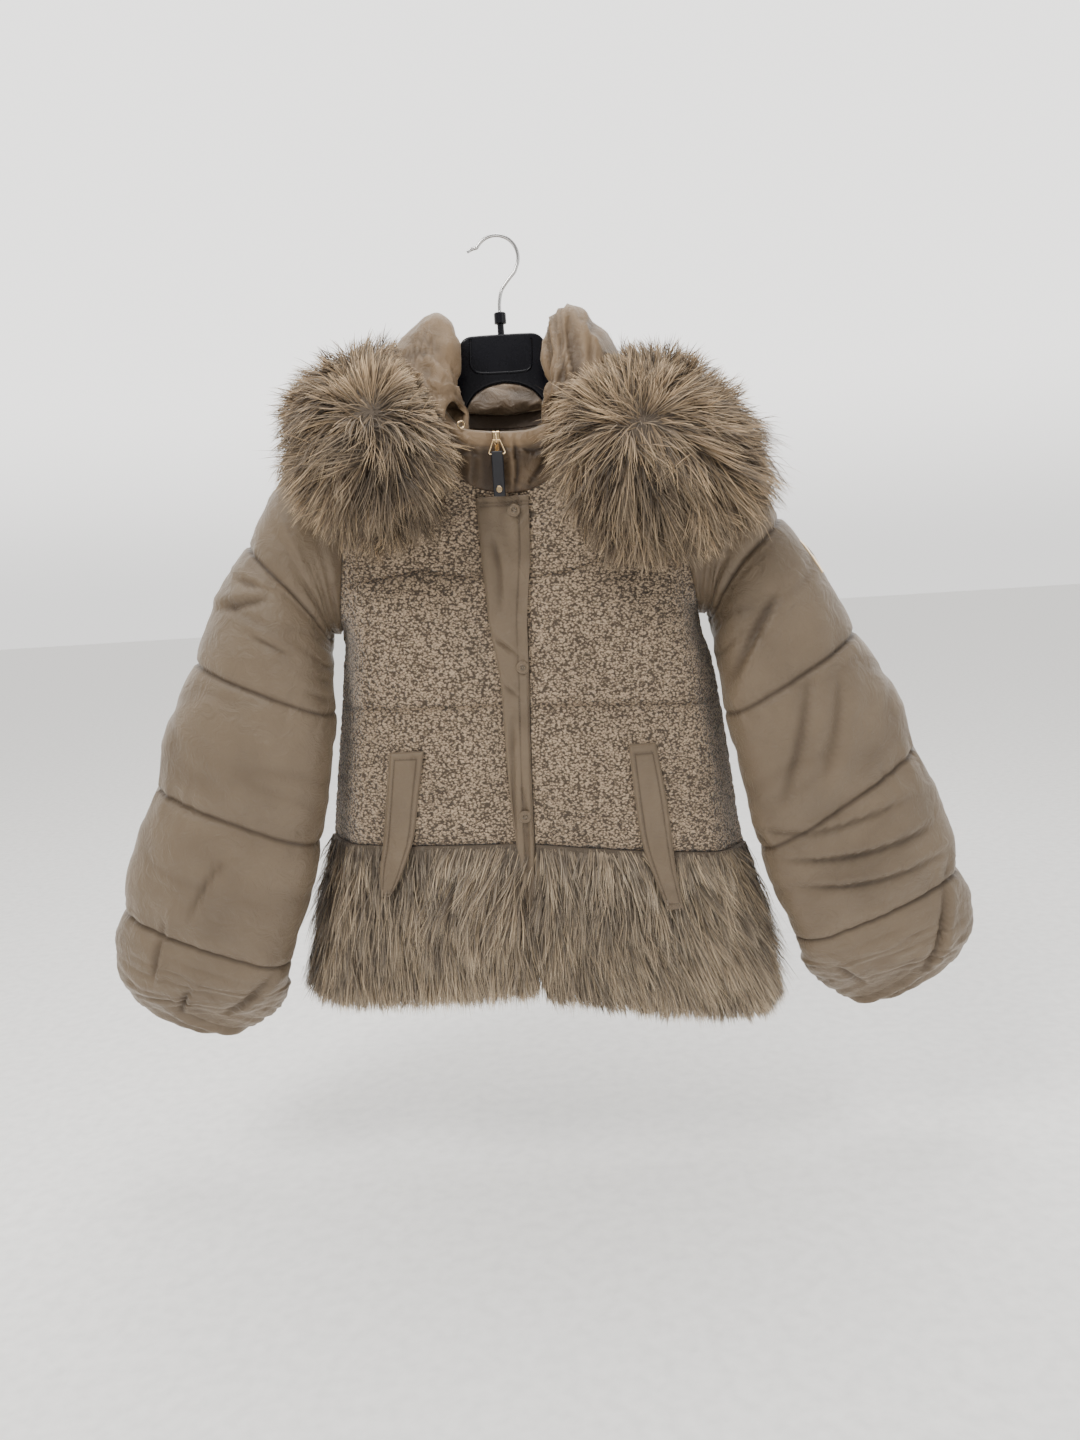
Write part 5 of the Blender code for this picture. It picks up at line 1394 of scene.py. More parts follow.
@dataclass
class Neck:
    """Stand collar, laid-back hood and what is sewn on them."""

    form: BodyForm
    # angle from the front, half width, y, z of the collar's upper edge
    collar_top: tuple = (
        (0, 0, -71, -209), (28, 36, -69, -205), (48, 53, -63, -193), (66, 66, -52, -174),
        (85, 78, -34, -160), (105, 82, -8, -154), (130, 74, 22, -156), (155, 44, 42, -160),
        (180, 0, 50, -162))
    # angle round the neck, then half width, y, z up the flap, before and after the crest,
    # outwards, and at the rim
    sections: tuple = (
        (34, (38, -62, -190), (42, -65, -180), (51, -72, -175), (59, -79, -183), (62, -84, -199)),
        (47, (46, -58, -175), (51, -61, -158), (61, -66, -152), (73, -71, -161), (81, -76, -180)),
        (60, (50, -53, -160), (55, -56, -136), (68, -58, -128), (84, -60, -138), (100, -62, -162)),
        (72, (45, -48, -140), (51, -46, -105), (68, -45, -92), (88, -48, -105), (106, -57, -138)),
        (88, (54, -24, -128), (60, -21, -92), (74, -19, -83), (100, -21, -100), (126, -25, -140)),
        (108, (66, 8, -122), (72, 10, -96), (90, 12, -94), (114, 14, -116), (138, 16, -150)),
        (130, (68, 34, -134), (80, 44, -122), (100, 54, -132), (122, 62, -150), (140, 70, -166)),
        (146, (54, 44, -140), (70, 62, -148), (86, 76, -185), (106, 92, -212), (124, 102, -208)),
        (163, (32, 54, -143), (40, 70, -165), (56, 76, -300), (74, 112, -300), (78, 120, -240)),
        (180, (0, 58, -144), (0, 72, -170), (0, 76, -384), (0, 122, -352), (0, 120, -242)))
    collar_pad: float = 6.0
    hood_wall: float = 5.0
    hood_clear: float = 3.2
    seat_rows: tuple = (2, 4)

    def loop(self, outer: bool) -> np.ndarray:
        """Points along the neckline from the zip round the back to the zip."""
        n = self.form.neck_column
        left, right = (self.form.edge_walls(side, False)[int(outer)][-1, :n + 1] for side in Side)
        left_back, right_back = (self.form.edge_walls(side, True)[int(outer)][-1, :n] for side in Side)
        ring = np.concatenate([left, left_back[::-1], right_back[1:], right[::-1]])
        ring[(n, -n - 1), 1] = 0
        return ring

    def collar_grids(self) -> tuple:
        """Coarse inside and outward directions of the collar, and its points' angles."""
        loop_in, loop_out = self.loop(False), self.loop(True)
        across = unit(np.cross(np.gradient(loop_in, axis=0), loop_out - loop_in))
        base_in, base_out = loop_in + across * GAP, loop_out + across * GAP
        angle = np.degrees(np.arctan2(-loop_in[:, 0], -(loop_in[:, 1] + 8)))
        angle = np.where(angle < -20, angle + 360, angle)
        late = np.arange(len(loop_in)) > len(loop_in) // 2
        angle = np.where(late & (angle < 180), angle + 360, angle)
        turn = np.where(angle > 180, angle - 360, angle)
        edge = np.stack([curve(self.collar_top, column, np.abs(turn)) for column in (1, 2, 3)], -1)
        edge[:, 0] *= -np.sign(turn)
        rise = np.linspace(0, 1, 5)[:, None, None]
        inside = base_in * (1 - rise) + edge * rise
        inside[1:, 0, 0], inside[1:, -1, 0] = base_in[0, 0], base_in[-1, 0]
        return inside, base_out, angle

    def collar(self) -> bpy.types.Object:
        """Padded stand collar, gathered by the cord in its upper edge."""
        inside, base_out, _ = self.collar_grids()
        out = normals(inside)
        out[:, (0, -1), 0] = 0
        rows, columns = even(4, 10), even(inside.shape[1] - 1, 16)
        fine, way = refine_both(inside, unit(out), rows, columns)
        rise = (rows / 4)[:, None]
        place = stacked(length_along(fine, 1), rise * 60, 2.0)
        gathers = 2.4 * noise(place, (13.0, 70.0, 9.0), 51) + 1.2 * noise(place, (6.0, 34.0, 9.0), 52)
        channel = 1.3 * bell((rise - 0.86) / 0.09) - 1.2 * bell((rise - 0.74) / 0.02)
        front = smooth((-fine[..., 1] - 45) / 25)
        tuck = sum(fold.relief(fine) for fold in COLLAR_FOLDS) * front
        thick = (self.form.seam_wall + self.collar_pad * np.clip(rise * 2, 0, 1) ** 0.7 - 2.5 * rise**4
                 + gathers * (0.25 + rise) * smooth(rise / 0.2) + channel + tuck)
        ends = np.minimum(columns, columns[-1] - columns)
        thick = thick * (0.6 + 0.4 * smooth(ends / 0.4)[None])
        outer = fine + way * thick[..., None]
        outer[0] = along_axis(base_out, columns)
        outer[-1, :, 2] -= 1.5
        # painted shadow: the collar below its upper band is darkened, with painted shade along the channel
        # and in the gathers and folds
        dark = 0.92 * smooth((0.8 - rise) / 0.12) + 0.2 * bell((rise - 0.74) / 0.03)
        shade = np.clip(dark - 0.12 * gathers - 0.14 * tuck, 0, 1) * np.ones_like(thick)
        piece = panel("collar_cloth", outer, fine[::2, ::2], [Look.collar, Look.lining],
                      marks={"shade": shade})
        return dressed(piece, "collar_nylon", "collar", padded=0.6)

    def hood_grid(self) -> np.ndarray:
        """Middle surface of the hood: rows up each section, columns round the neck."""
        inside, _, angles = self.collar_grids()
        begin = self.hood_clear + self.hood_wall / 2
        stations = [(a, Side.LEFT, rest) for a, *rest in self.sections]
        stations += [(a, Side.RIGHT, rest) for a, *rest in self.sections[-2::-1]]
        columns = []
        for angle, side, rest in stations:
            at = angle if side is Side.LEFT else 360 - angle
            seat = np.array([[np.interp(at, angles, inside[row, :, c]) for c in range(3)]
                             for row in self.seat_rows])
            seat = seat + unit(-seat * (1, 1, 0) + (0, -8, 0)) * begin
            columns.append(np.concatenate([seat, np.array(rest, float) * (side.value, 1, 1)]))
        return np.stack([through(section, 2) for section in through(columns, 2)], 1)

    def hood(self) -> bpy.types.Object:
        """The laid-back hood: lined and padded, stitched along its rim."""
        grid = self.hood_grid()
        rows, columns = even(len(grid) - 1, 8), even(grid.shape[1] - 1, 5)
        fine, way = refine_both(grid, normals(grid), rows, columns)
        up = (rows / rows[-1])[:, None]
        girth = length_along(fine, 1)
        place = stacked(girth, up * 180, fine[..., 1] * 0.1)
        soft = 3.2 * layered(place, (26.0, 46.0, 60.0), 61, 3)
        sharp = np.clip(0.55 - np.abs(noise(place, (30.0, 64.0, 60.0), 66)) * 2, 0, 1)
        front = smooth((20 - fine[..., 1]) / 30)
        tuck = 1.7 * sum(fold.relief(fine) for fold in HOOD_FOLDS) * front
        front_edge = np.minimum(girth, girth[:, -1:] - girth)
        hem = -1.0 * bell((front_edge - 9) / 0.9) + 0.8 * bell((front_edge - 4) / 4)
        gathers = 1.5 * noise(place, (9.0, 40.0, 60.0), 63) * bell((up - 0.5) / 0.25)
        edge = smooth(np.minimum(up, 1 - up) / 0.06) * smooth(front_edge / 4)
        relief = (soft - 2.6 * sharp + hem + gathers + tuck) * edge
        half = self.hood_wall / 2 * (0.55 + 0.45 * edge)
        outer = fine + way * (half + relief)[..., None]
        inner = fine - way * (half - relief)[..., None]
        # painted shade along the stitched hem and over the right flap, and in the folds on both faces
        base = 0.35 * bell((front_edge - 9) / 1.1) + 0.3 * smooth(fine[..., 0] / 20)
        deep = 0.14 * (soft + tuck) - 0.2 * sharp
        shade, shade_inside = (np.clip(base - sign * deep, 0, 0.75) for sign in (1, -1))
        piece = panel("hood_cloth", outer, inner[::2, ::2], [Look.collar, Look.collar],
                      marks={"shade": shade}, inside={"shade": shade_inside[::2, ::2]})
        return dressed(piece, "collar_nylon", "hood", padded=0.4)

    def eyelet(self) -> bpy.types.Object:
        """Small metal eyelet from which the collar's cord comes, set in its upper edge."""
        turn = np.linspace(0, 2 * math.pi, 24, endpoint=False)
        x, y, z = EYELET
        ring = stacked(x + 3.4 * np.cos(turn), y, z + 3.4 * np.sin(turn))
        piece = closed_form("collar_eyelet", tube(ring, 0.9, 8, True, up=(0, 1, 0.01)), Look.gold)
        return dressed(piece, "gold_metal")

    def cord_loop(self) -> bpy.types.Object:
        """Short loop of cord at the right edge of the hood."""
        piece = closed_form("hood_cord_loop", tube(through(CORD_LOOP, 6), 1.1, 8), Look.thread)
        return dressed(piece, "collar_nylon")

    def make(self) -> None:
        """Builds the collar, the hood and their trim."""
        self.collar()
        self.hood()
        self.eyelet()
        self.cord_loop()


# === front opening and pockets =================================================================

@dataclass
class Opening:
    """Placket with its covered snaps, the zip teeth on the collar's front, and the two pocket welts."""

    form: BodyForm
    wall: float = 3.2
    gap: float = 0.5
    lift: float = 1.0
    snaps: tuple = ((2.7, -288), (1.6, -450), (-5.5, -608))
    snap_radius: float = 6.5
    snap_height: float = 2.4
    stitch_inset: float = 11.0          # from the placket's free edge
    stitches_down: tuple = (6.0, 9.5)   # from its top
    stitch_groove: float = 0.9
    # height, outer edge, inner edge of each slanted welt
    pockets: dict = field(default_factory=lambda: {
        Side.LEFT: ((-532, -145, -108), (-580, -152, -117), (-626, -159, -126), (-665, -165, -142),
                    (-686, -165, -155)),
        Side.RIGHT: ((-538, 137, 108), (-601, 146, 112), (-645, 150, 117), (-677, 152, 126),
                     (-718, 158, 140))})
    welt_wall: float = 4.0
    welt_size: tuple = (36.0, 160.0)    # mean width and length
    welt_inset: float = 6.5             # from a welt's edge to its stitches

    def strip(self, rows: int, columns: int) -> tuple:
        """Under face of the placket: flat over the fronts, its free edge turned in lower down."""
        heights = self.form.row_heights(Side.LEFT)[0]
        z = np.linspace(heights[0] + 3, heights[-1] - 2, rows)
        attached, free, turned_in = (curve(self.form.opening, c, z) for c in (1, 2, 5))
        share = np.linspace(0, 1, columns)
        x = attached[:, None] + (free - self.wall - attached)[:, None] * share
        y = self.form.front_y(x, z[:, None], self.gap + self.lift * share**2)
        return stacked(x, y, z[:, None]), turned_in, share

    def placket(self) -> bpy.types.Object:
        """Covering strip with stitched edges and soft folds."""
        under, turned_in, share = self.strip(321, 34)
        z = under[..., 2]
        plain = self.wall * smooth(np.minimum(1, (share + 0.02) / 0.1)) ** 0.5
        place = stacked(under[..., 0], z, 0.0)
        folds = 1.2 * noise(place, (9.0, 85.0, 5.0), 71) + 0.7 * noise(place, (14.0, 22.0, 5.0), 72)
        folds = folds + 1.5 * sum(fold.relief(under) for fold in PLACKET_FOLDS)
        edge_x = curve(self.form.opening, 2, z[:, 0])[:, None] - under[..., 0]
        top, narrow = z.max(), self.stitch_groove
        groove = -0.55 * bell((edge_x - self.stitch_inset) / narrow)
        for down, deep in zip(self.stitches_down, (0.55, 0.5)):
            groove = groove - deep * bell((z - (top - down)) / narrow)
        gather = 0.35 * noise(place, (40.0, 5.0, 5.0), 73) * bell((edge_x - self.stitch_inset) / 5)
        over = under.copy()
        over[..., 1] -= plain[None] + (folds + groove + gather) * smooth(share / 0.12)[None]
        sides = [self.turned_edge(under[:, -1], over[:, -1], turned_in, k / EDGE_STEPS)
                 for k in range(1, EDGE_STEPS + 1)]
        under, over = (np.concatenate([grid, np.stack([pair[which] for pair in sides], 1)], 1)
                       for which, grid in enumerate((under, over)))
        # painted shade in the stitch grooves and the folds
        marks = np.clip(-1.1 * groove - 0.22 * folds, 0, 0.8) * smooth(share / 0.12)[None]
        marks = np.concatenate([marks, np.repeat(marks[:, -1:], EDGE_STEPS, 1)], 1)
        piece = panel("placket_cloth", over, under[::4, ::4], [Look.nylon, Look.lining],
                      marks={"shade": marks})
        return dressed(piece, "nylon", "placket", padded=0.3)

    def turned_edge(self, under: np.ndarray, over: np.ndarray, turned_in: np.ndarray, t: float) -> tuple:
        """Both faces of the placket's free edge, part of the way to where it ends inside."""
        low, high = under.copy(), over.copy()
        low[:, 1] += turned_in * t
        high[:, 0] += self.wall * math.sin(min(1, t * 2.5) * math.pi / 2)
        high[:, 1] = low[:, 1] if t == 1 else np.minimum(high[:, 1] + turned_in * t, low[:, 1])
        return low, high

    def cover(self, x: float, z: float) -> float:
        """The placket's outside at a place."""
        return float(self.form.front_y(x, z, self.gap + self.lift + self.wall))

    def snap(self, number: int, x: float, z: float) -> bpy.types.Object:
        """A snap covered in cloth: a low domed disc with a pressed ring."""
        r, h = self.snap_radius, self.snap_height
        profile = ((0, 0), (r, 0), (r + 0.25, 0.5 * h), (r - 0.3, 0.85 * h), (r - 1.4, h),
                   (r - 2.0, 0.78 * h), (r - 2.6, 0.95 * h), (r - 4.2, 1.08 * h), (0, 1.12 * h))
        form = turned(profile, 48, (x, self.cover(x, z) - GAP, z), (0, -1, 0))
        return dressed(closed_form(f"snap_{number}_cap", form, Look.nylon), "nylon", f"snap_{number}")

    def welt(self, side: Side) -> bpy.types.Object:
        """Slanted pocket welt, stitched along its edges, that hugs the front under it."""
        tree = tree_of(f"front_{side.word}", f"hem_front_{side.word}")
        places = through(self.pockets[side], 3)
        share = np.linspace(0, 1, 4)
        x = places[:, 1, None] + (places[:, 2] - places[:, 1])[:, None] * share
        z = np.broadcast_to(places[:, :1], x.shape)
        y = np.array([[foremost(tree, a, b) for a, b in zip(*row)] for row in zip(x, z)])
        y[1:-1] = (y[:-2] + 2 * y[1:-1] + y[2:]) / 4
        rows, columns = even(len(x) - 1, 12), even(3, 16)
        under = refine(stacked(x, y - self.gap, z), rows, columns)
        u, v = (columns / 3)[None], (rows / rows[-1])[:, None]
        wide, long = self.welt_size
        rim = np.minimum(np.minimum(u, 1 - u) * wide, np.minimum(v, 1 - v) * long)
        shape = smooth(rim / 3.0) ** 0.5
        groove = -0.7 * bell((rim - self.welt_inset) / self.stitch_groove)
        folds = 0.8 * noise(under, (8.0, 40.0, 34.0), 81 + side.value)
        bunch = smooth((v - 0.72) / 0.2) * (1.6 * noise(under, (7.0, 30.0, 5.5), 83))
        thick = self.welt_wall * (0.35 + 0.65 * shape) + (folds + groove + bunch) * shape
        over = under + (0, -1, 0) * thick[..., None]
        name = f"pocket_welt_{side.word}"
        # painted shade in the stitch groove and the folds
        marks = np.clip(-0.9 * groove - 0.14 * (folds + bunch), 0, 0.7) * shape
        piece = panel(f"{name}_cloth", over, under[::4, ::4], [Look.nylon, Look.lining],
                      marks={"shade": marks})
        dressed(piece, "nylon", name, padded=0.4)
        return self.welt_seams(name, over)

    def welt_seams(self, name: str, over: np.ndarray) -> bpy.types.Object:
        """Stitches round a welt, a little inside its edge."""
        down, at = (int(n * self.welt_inset / size) for n, size in zip(over.shape, self.welt_size[::-1]))
        path = np.concatenate([over[down:-down, at], over[-down, at:-at], over[-down:down:-1, -at],
                               over[down, -at:at:-1]])
        return stitches(f"{name}_stitches", path + (0, -0.15, 0), (0, -1, 0))

    def seams(self) -> None:
        """Stitch lines of the placket: along its free edge and twice across its top."""
        heights = self.form.row_heights(Side.LEFT)[0]
        top = heights[-1] - 2
        z = np.linspace(heights[0] + 6, top - 7, 300)
        lines = [(curve(self.form.opening, 2, z) - self.stitch_inset, z, 0.3)]
        across = np.linspace(-34, 15, 40)
        lines += [(across, np.full_like(across, top - down), 0.2) for down in self.stitches_down]
        for number, (x, z, sunk) in enumerate(lines, 1):
            y = self.form.front_y(x, z, self.gap + self.lift * 0.5 + self.wall - sunk)
            stitches(f"placket_stitches_{number}", stacked(x, y, z), (0, -1, 0))

    def teeth(self) -> bpy.types.Object:
        """The closed zip on the collar's front, below the slider: two rows of metal teeth."""
        tree = tree_of("collar")
        parts = []
        for row, sign in ((0, -1), (1, 1)):
            for place in np.arange(-266, -222, 1.9) + 0.95 * row:
                x = SLIDER_X + sign * 1.3
                y = foremost(tree, x, place, 1.0) + 0.3
                parts.append(turned(TOOTH, 6, (x, y, place), (0, -1, 0)))
        return dressed(closed_form("zip_teeth", joined(parts), Look.gold), "gold_metal")

    def make(self) -> None:
        """Builds the placket, the snaps, the welts and their stitches."""
        self.placket()
        self.seams()
        self.teeth()
        for number, (x, z) in enumerate(self.snaps, 1):
            self.snap(number, x, z)
        for side in Side:
            self.welt(side)


def foremost(tree: BVHTree, x: float, z: float, reach: float = 4.0) -> float:
    """The foremost surface of a tree near a place, seen from the front."""
    hits = [tree.ray_cast(Vector((x + a, -400, z + b)), Vector((0, 1, 0)))[0]
            for a in (-reach, 0, reach) for b in (-reach, 0, reach)]
    return min(hit.y for hit in hits if hit is not None)


def stitches(name: str, path: np.ndarray, out, length: float = 3.0, gap: float = 1.2,
             radius: float = 0.32) -> bpy.types.Object:
    """A row of sewing along a path: each stitch a short thread that dips in at both ends.

    Formula: the path is cut at even lengths; each stitch has two rings of five points round its
    middle and one point at each end.
    """
    run = np.concatenate([[0], np.linalg.norm(np.diff(path, axis=0), axis=1).cumsum()])
    starts = np.arange(0, run[-1] - length, length + gap)
    out = unit(np.asarray(out, float))
    at = starts[:, None] + length * np.array((0, 0.2, 0.8, 1.0))
    line = np.stack([np.interp(at, run, path[:, c]) for c in range(3)], -1)
    line[:, (0, 3)] -= out * radius
    ahead = unit(line[:, 3] - line[:, 0])
    side = unit(np.cross(ahead, out))
    turn = np.arange(5) * 2 * math.pi / 5
    ring = radius * (np.cos(turn)[None, :, None] * side[:, None] + np.sin(turn)[None, :, None] * out)
    points = np.concatenate([line[:, 1, None] + ring, line[:, 2, None] + ring, line[:, :1], line[:, 3:]], 1)
    base = np.arange(len(starts))[:, None] * 12
    quads, ends = [], []
    for k in range(5):
        n = (k + 1) % 5
        quads.append(base + (k, n, n + 5, k + 5))
        ends += [base + (n, k, 10), base + (k + 5, n + 5, 11)]
    form = points.reshape(-1, 3), [np.concatenate(quads), np.concatenate(ends)]
    return dressed(closed_form(name, form, Look.thread), "nylon")


# === hanger ====================================================================================

@dataclass
class Hanger:
    """Plastic hanger: its moulded body, the raised line on its panel, and the steel hook."""

    wire: float = 1.9
    hook_radius: float = 23.0
    stem: tuple = ((0, -76.6), (0.4, -66), (3.5, -54), (11, -44), (18.5, -36))
    hook_tip: tuple = (-30.5, -13.5)
    y: float = -1.0
    thick: float = 14.0
    round_edge: float = 3.0
    # upper edge x, z and lower edge x, z, from the middle to the tip of the right arm
    edges: tuple = (
        (0, -99.6, 0, -150), (24, -99.8, 11, -151.5), (37, -101, 19, -153.6), (45, -108, 26, -157),
        (52, -124, 32, -161), (50.5, -150, 40, -171), (56, -168, 46, -182), (68, -184, 56, -195),
        (84, -188.6, 68, -208.6), (102, -190, 88, -214.6), (128, -200.6, 119, -224.2),
        (151.5, -210.3, 146, -232.6), (156, -218.5, 153.5, -231))
    rib: tuple = ((-33, -103), (-34.2, -118), (-34.5, -129), (-31, -136), (-24, -139), (-3, -139.8),
                  (19, -139.6), (27, -138), (30, -133), (31, -120), (31.6, -106))
    rib_radius: float = 1.3

    def hook(self) -> bpy.types.Object:
        """The hook's wire: its stem, most of a circle and a short straight end."""
        middle = self.wire - self.hook_radius
        turn = np.radians(np.linspace(-18, 150, 43))
        arc = np.stack([self.hook_radius * np.cos(turn), middle + self.hook_radius * np.sin(turn)], -1)
        tip = np.array(self.hook_tip)
        end = np.array([(arc[-1] + tip) / 2 + (0, 1), tip])
        flat = np.concatenate([through(self.stem, 6), arc, end])
        radius = np.full(len(flat), self.wire)
        radius[-1] *= 0.8
        form = tube(np.insert(flat, 1, self.y, axis=1), radius, 20, up=(0, 1, 0))
        return dressed(closed_form("hook_wire", form, Look.steel), "hook_steel", "hanger_hook")

    def ribs(self) -> bpy.types.Object:
        """Raised line on both faces of the panel."""
        flat = through(self.rib, 4)
        parts = [tube(np.insert(flat, 1, self.y + face * (self.thick / 2 - 0.1), axis=1), self.rib_radius, 8,
                      up=(0, 1, 0)) for face in (-1, 1)]
        return dressed(closed_form("hanger_ribs", joined(parts), Look.plastic), "hanger_plastic")

    def body(self) -> bpy.types.Object:
        """The moulded body: sections with rounded corners from tip to tip.

        Formula: each section is a rectangle between the upper and the lower edge, and each of
        its four corners is a quarter circle.
        """
        half = through(self.edges, 4)
        line = np.concatenate([half[:0:-1] * (-1, 1, -1, 1), half])
        high, low = line[:, :2], line[:, 2:]
        up = unit(high - low)
        bend, side = self.round_edge, self.thick / 2 - self.round_edge
        corners = ((0, high, 1, 1), (90, high, 1, -1), (180, low, -1, -1), (270, low, -1, 1))
        rings = []
        for start, base, sign_up, sign_y in corners:
            for angle in np.radians(np.linspace(start, start + 90, 5)):
                flat = base + up * bend * (math.cos(angle - math.pi / 2) - sign_up)
                rings.append(np.insert(flat, 1, self.y + sign_y * side + bend * math.cos(angle), axis=1))
        count, last = len(rings), (len(line) - 1) * len(rings)
        cap = np.arange(count)[None]
        faces = [cells(len(line), count, 0, True), cap, cap[:, ::-1] + last]
        form = np.stack(rings, 1).reshape(-1, 3), faces
        piece = closed_form("hanger_plastic_body", form, Look.plastic)
        return dressed(piece, "hanger_plastic", "hanger_body")

    def make(self) -> None:
        """Builds the body, the hook and the ribs, and dresses the ring under the hook."""
        finish_node("hanger_size_ring", Look.plastic)
        self.body()
        self.hook()
        self.ribs()


# === zip pull and badge ========================================================================

@dataclass
class ZipPull:
    """Slider, bail, ring and the leather tab with its rivet."""

    def make(self) -> None:
        """Gives the solids of the slider, the bail and the pull their finishes."""
        for node in ("zip_slider", "zip_bail", "pull_ring", "pull_rivet"):
            finish_node(node, Look.gold)
        finish_node("pull_tab", Look.leather)


def finish_node(name: str, look: bpy.types.Material) -> None:
    """Gives a solid of the frame its finish."""
    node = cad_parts[name]
    if not node.material_slots:
        node.data.materials.append(look)
    for slot_ in node.material_slots:
        slot_.material = look


# === setting ===================================================================================

@dataclass
class Setting:
    """Floor, lights and camera."""

    camera_place: tuple = (16.36, -1223.76, -345.47)
    pitch: float = 8.0
    roll: float = 3.5
    lens: float = 27.5
    floor_z: float = -1050.0
    glow: float = 2.4
    front_glow: float = 0.42    # on the camera's side of the jacket
    horizon: float = 0.62       # share of the glow where the wall meets the floor

    def floor(self) -> None:
        """Plain pale floor."""
        half = 14000.0
        points = np.array([(-half, -half, self.floor_z), (half, -half, self.floor_z),
                           (half, half, self.floor_z), (-half, half, self.floor_z)])
        look = Plain("pale_floor", (0.95, 0.94, 0.92), 0.9, grain=40.0).make()
        build("floor", points, [np.array([[0, 1, 2, 3]])], [look])

    def lamp(self, name: str, place: tuple, aim: tuple, size: float, power: float, tint: tuple) -> None:
        """A soft square light that faces a place."""
        data = bpy.data.lights.new(name, "AREA")
        data.energy, data.size, data.color = power, size, tint
        lamp = bpy.data.objects.new(name, data)
        turn = (Vector(aim) - Vector(place)).to_track_quat("-Z", "Y").to_matrix().to_4x4()
        lamp.matrix_world = Matrix.Translation(Vector(place)) @ turn
        bpy.context.scene.collection.objects.link(lamp)

    def camera(self) -> None:
        """The camera at the photograph's angle."""
        data = bpy.data.cameras.new("camera")
        data.lens, data.sensor_fit, data.sensor_height, data.sensor_width = self.lens, "VERTICAL", 36, 36
        data.clip_end = 100
        pitch, roll = math.radians(self.pitch), math.radians(self.roll)
        ahead = Vector((0, math.cos(pitch), -math.sin(pitch)))
        up = Vector((0, math.sin(pitch), math.cos(pitch)))
        right = Vector((1, 0, 0))
        x = right * math.cos(roll) - up * math.sin(roll)
        y = right * math.sin(roll) + up * math.cos(roll)
        turn = Matrix((x, y, -ahead)).transposed().to_4x4()
        camera = bpy.data.objects.new("camera", data)
        camera.matrix_world = Matrix.Translation(Vector(self.camera_place) * MM) @ turn
        bpy.context.scene.collection.objects.link(camera)
        bpy.context.scene.camera = camera

    def make(self) -> None:
        """Sets the scene."""
        self.floor()
        self.lamp("key", (-1.2, -1.7, 1.6), (0, 0, -0.4), 0.9, 62, (1.0, 0.98, 0.95))
        self.lamp("fill", (1.9, -1.5, 0.4), (0, 0, -0.45), 1.6, 14, (0.97, 0.98, 1.0))
        self.lamp("top", (0.1, -0.1, 1.9), (0, 0, -0.3), 1.2, 34, (1.0, 1.0, 1.0))
        self.backdrop()
        self.camera()

    def backdrop(self) -> None:
        """A pale surround, brightest behind the jacket like a lit studio wall."""
        world = bpy.data.worlds.new("studio")
        world.use_nodes = True
        nodes, link = world.node_tree.nodes, world.node_tree.links.new
        place, split, spread, fade, both = (nodes.new("ShaderNode" + kind) for kind in (
            "TexCoord", "SeparateXYZ", "MapRange", "MapRange", "Math"))
        both.operation = "MULTIPLY"
        for node, stops in ((spread, (-0.3, 0.7, self.front_glow, self.glow)),
                            (fade, (-0.02, 0.16, self.horizon, 1.0))):
            node.interpolation_type = "SMOOTHSTEP"
            for socket, value in zip(("From Min", "From Max", "To Min", "To Max"), stops):
                node.inputs[socket].default_value = value
        link(place.outputs["Generated"], split.inputs[0])
        link(split.outputs["Y"], spread.inputs["Value"])
        link(split.outputs["Z"], fade.inputs["Value"])
        link(spread.outputs["Result"], both.inputs[0])
        link(fade.outputs["Result"], both.inputs[1])
        link(both.outputs[0], nodes["Background"].inputs["Strength"])
        nodes["Background"].inputs["Color"].default_value = (1.0, 0.985, 0.965, 1)
        bpy.context.scene.world = world


# === folds and small places ====================================================================

LEFT_FOLDS = (
    Fold(((-289, -342), (-245, -360)), 3.0, 4.0), Fold(((-308, -373), (-255, -364)), 3.4, 4.5),
    Fold(((-274, -399), (-239, -422)), 2.8, 3.6), Fold(((-223, -461), (-193, -479)), 2.4, 3.0),
    Fold(((-214, -447), (-190, -462)), 2.0, 2.6),
    Fold(((-318, -628), (-345, -658), (-371, -700)), 2.5, 5.5),
    Fold(((-393, -696), (-404, -726), (-412, -757)), 5.0, 3.6),
    Fold(((-374, -769), (-397, -806)), 4.2, 3.2), Fold(((-280, -758), (-318, -788), (-351, -811)), 3.4, 4.2))
RIGHT_FOLDS = (
    Fold(((271, -386), (245, -430), (214, -488)), 3.6, 6.0),
    Fold(((300, -462), (285, -540), (264, -611)), 3.0, 7.0),
    Fold(((330, -470), (322, -530), (306, -590)), 2.4, 7.0),
    Fold(((241, -642), (310, -640), (398, -614)), 3.8, 4.5),
    Fold(((256, -671), (340, -668), (425, -648)), 3.8, 4.5),
    Fold(((277, -701), (360, -698), (441, -677)), 3.2, 4.2),
    Fold(((236, -640), (250, -656)), 4.0, 3.0),
    Fold(((444, -691), (434, -760), (415, -821)), 4.2, 4.2),
    Fold(((321, -792), (340, -806), (360, -829)), 3.4, 3.6))
HOOD_FOLDS = (
    Fold(((-96, -116), (-78, -118), (-64, -131)), 2.2, 2.6),
    Fold(((-100, -133), (-77, -131), (-59, -150)), 2.6, 2.8),
    Fold(((-78, -151), (-67, -160), (-46, -163)), 2.6, 2.4),
    Fold(((-88, -104), (-74, -106), (-62, -116)), 1.8, 2.2),
    Fold(((-72, -176), (-56, -178), (-44, -186)), 2.0, 2.2),
    Fold(((58, -128), (57, -146), (54, -164)), 2.6, 2.6),
    Fold(((64, -124), (69, -156), (77, -182)), 2.8, 3.2),
    Fold(((100, -140), (97, -156), (94, -172)), 2.2, 2.2),
    Fold(((106, -138), (104, -152), (102, -166)), 1.8, 2.0),
    Fold(((51, -163), (62, -165), (73, -162)), 2.4, 2.2),
    Fold(((80, -106), (92, -118), (98, -132)), 1.8, 3.0))
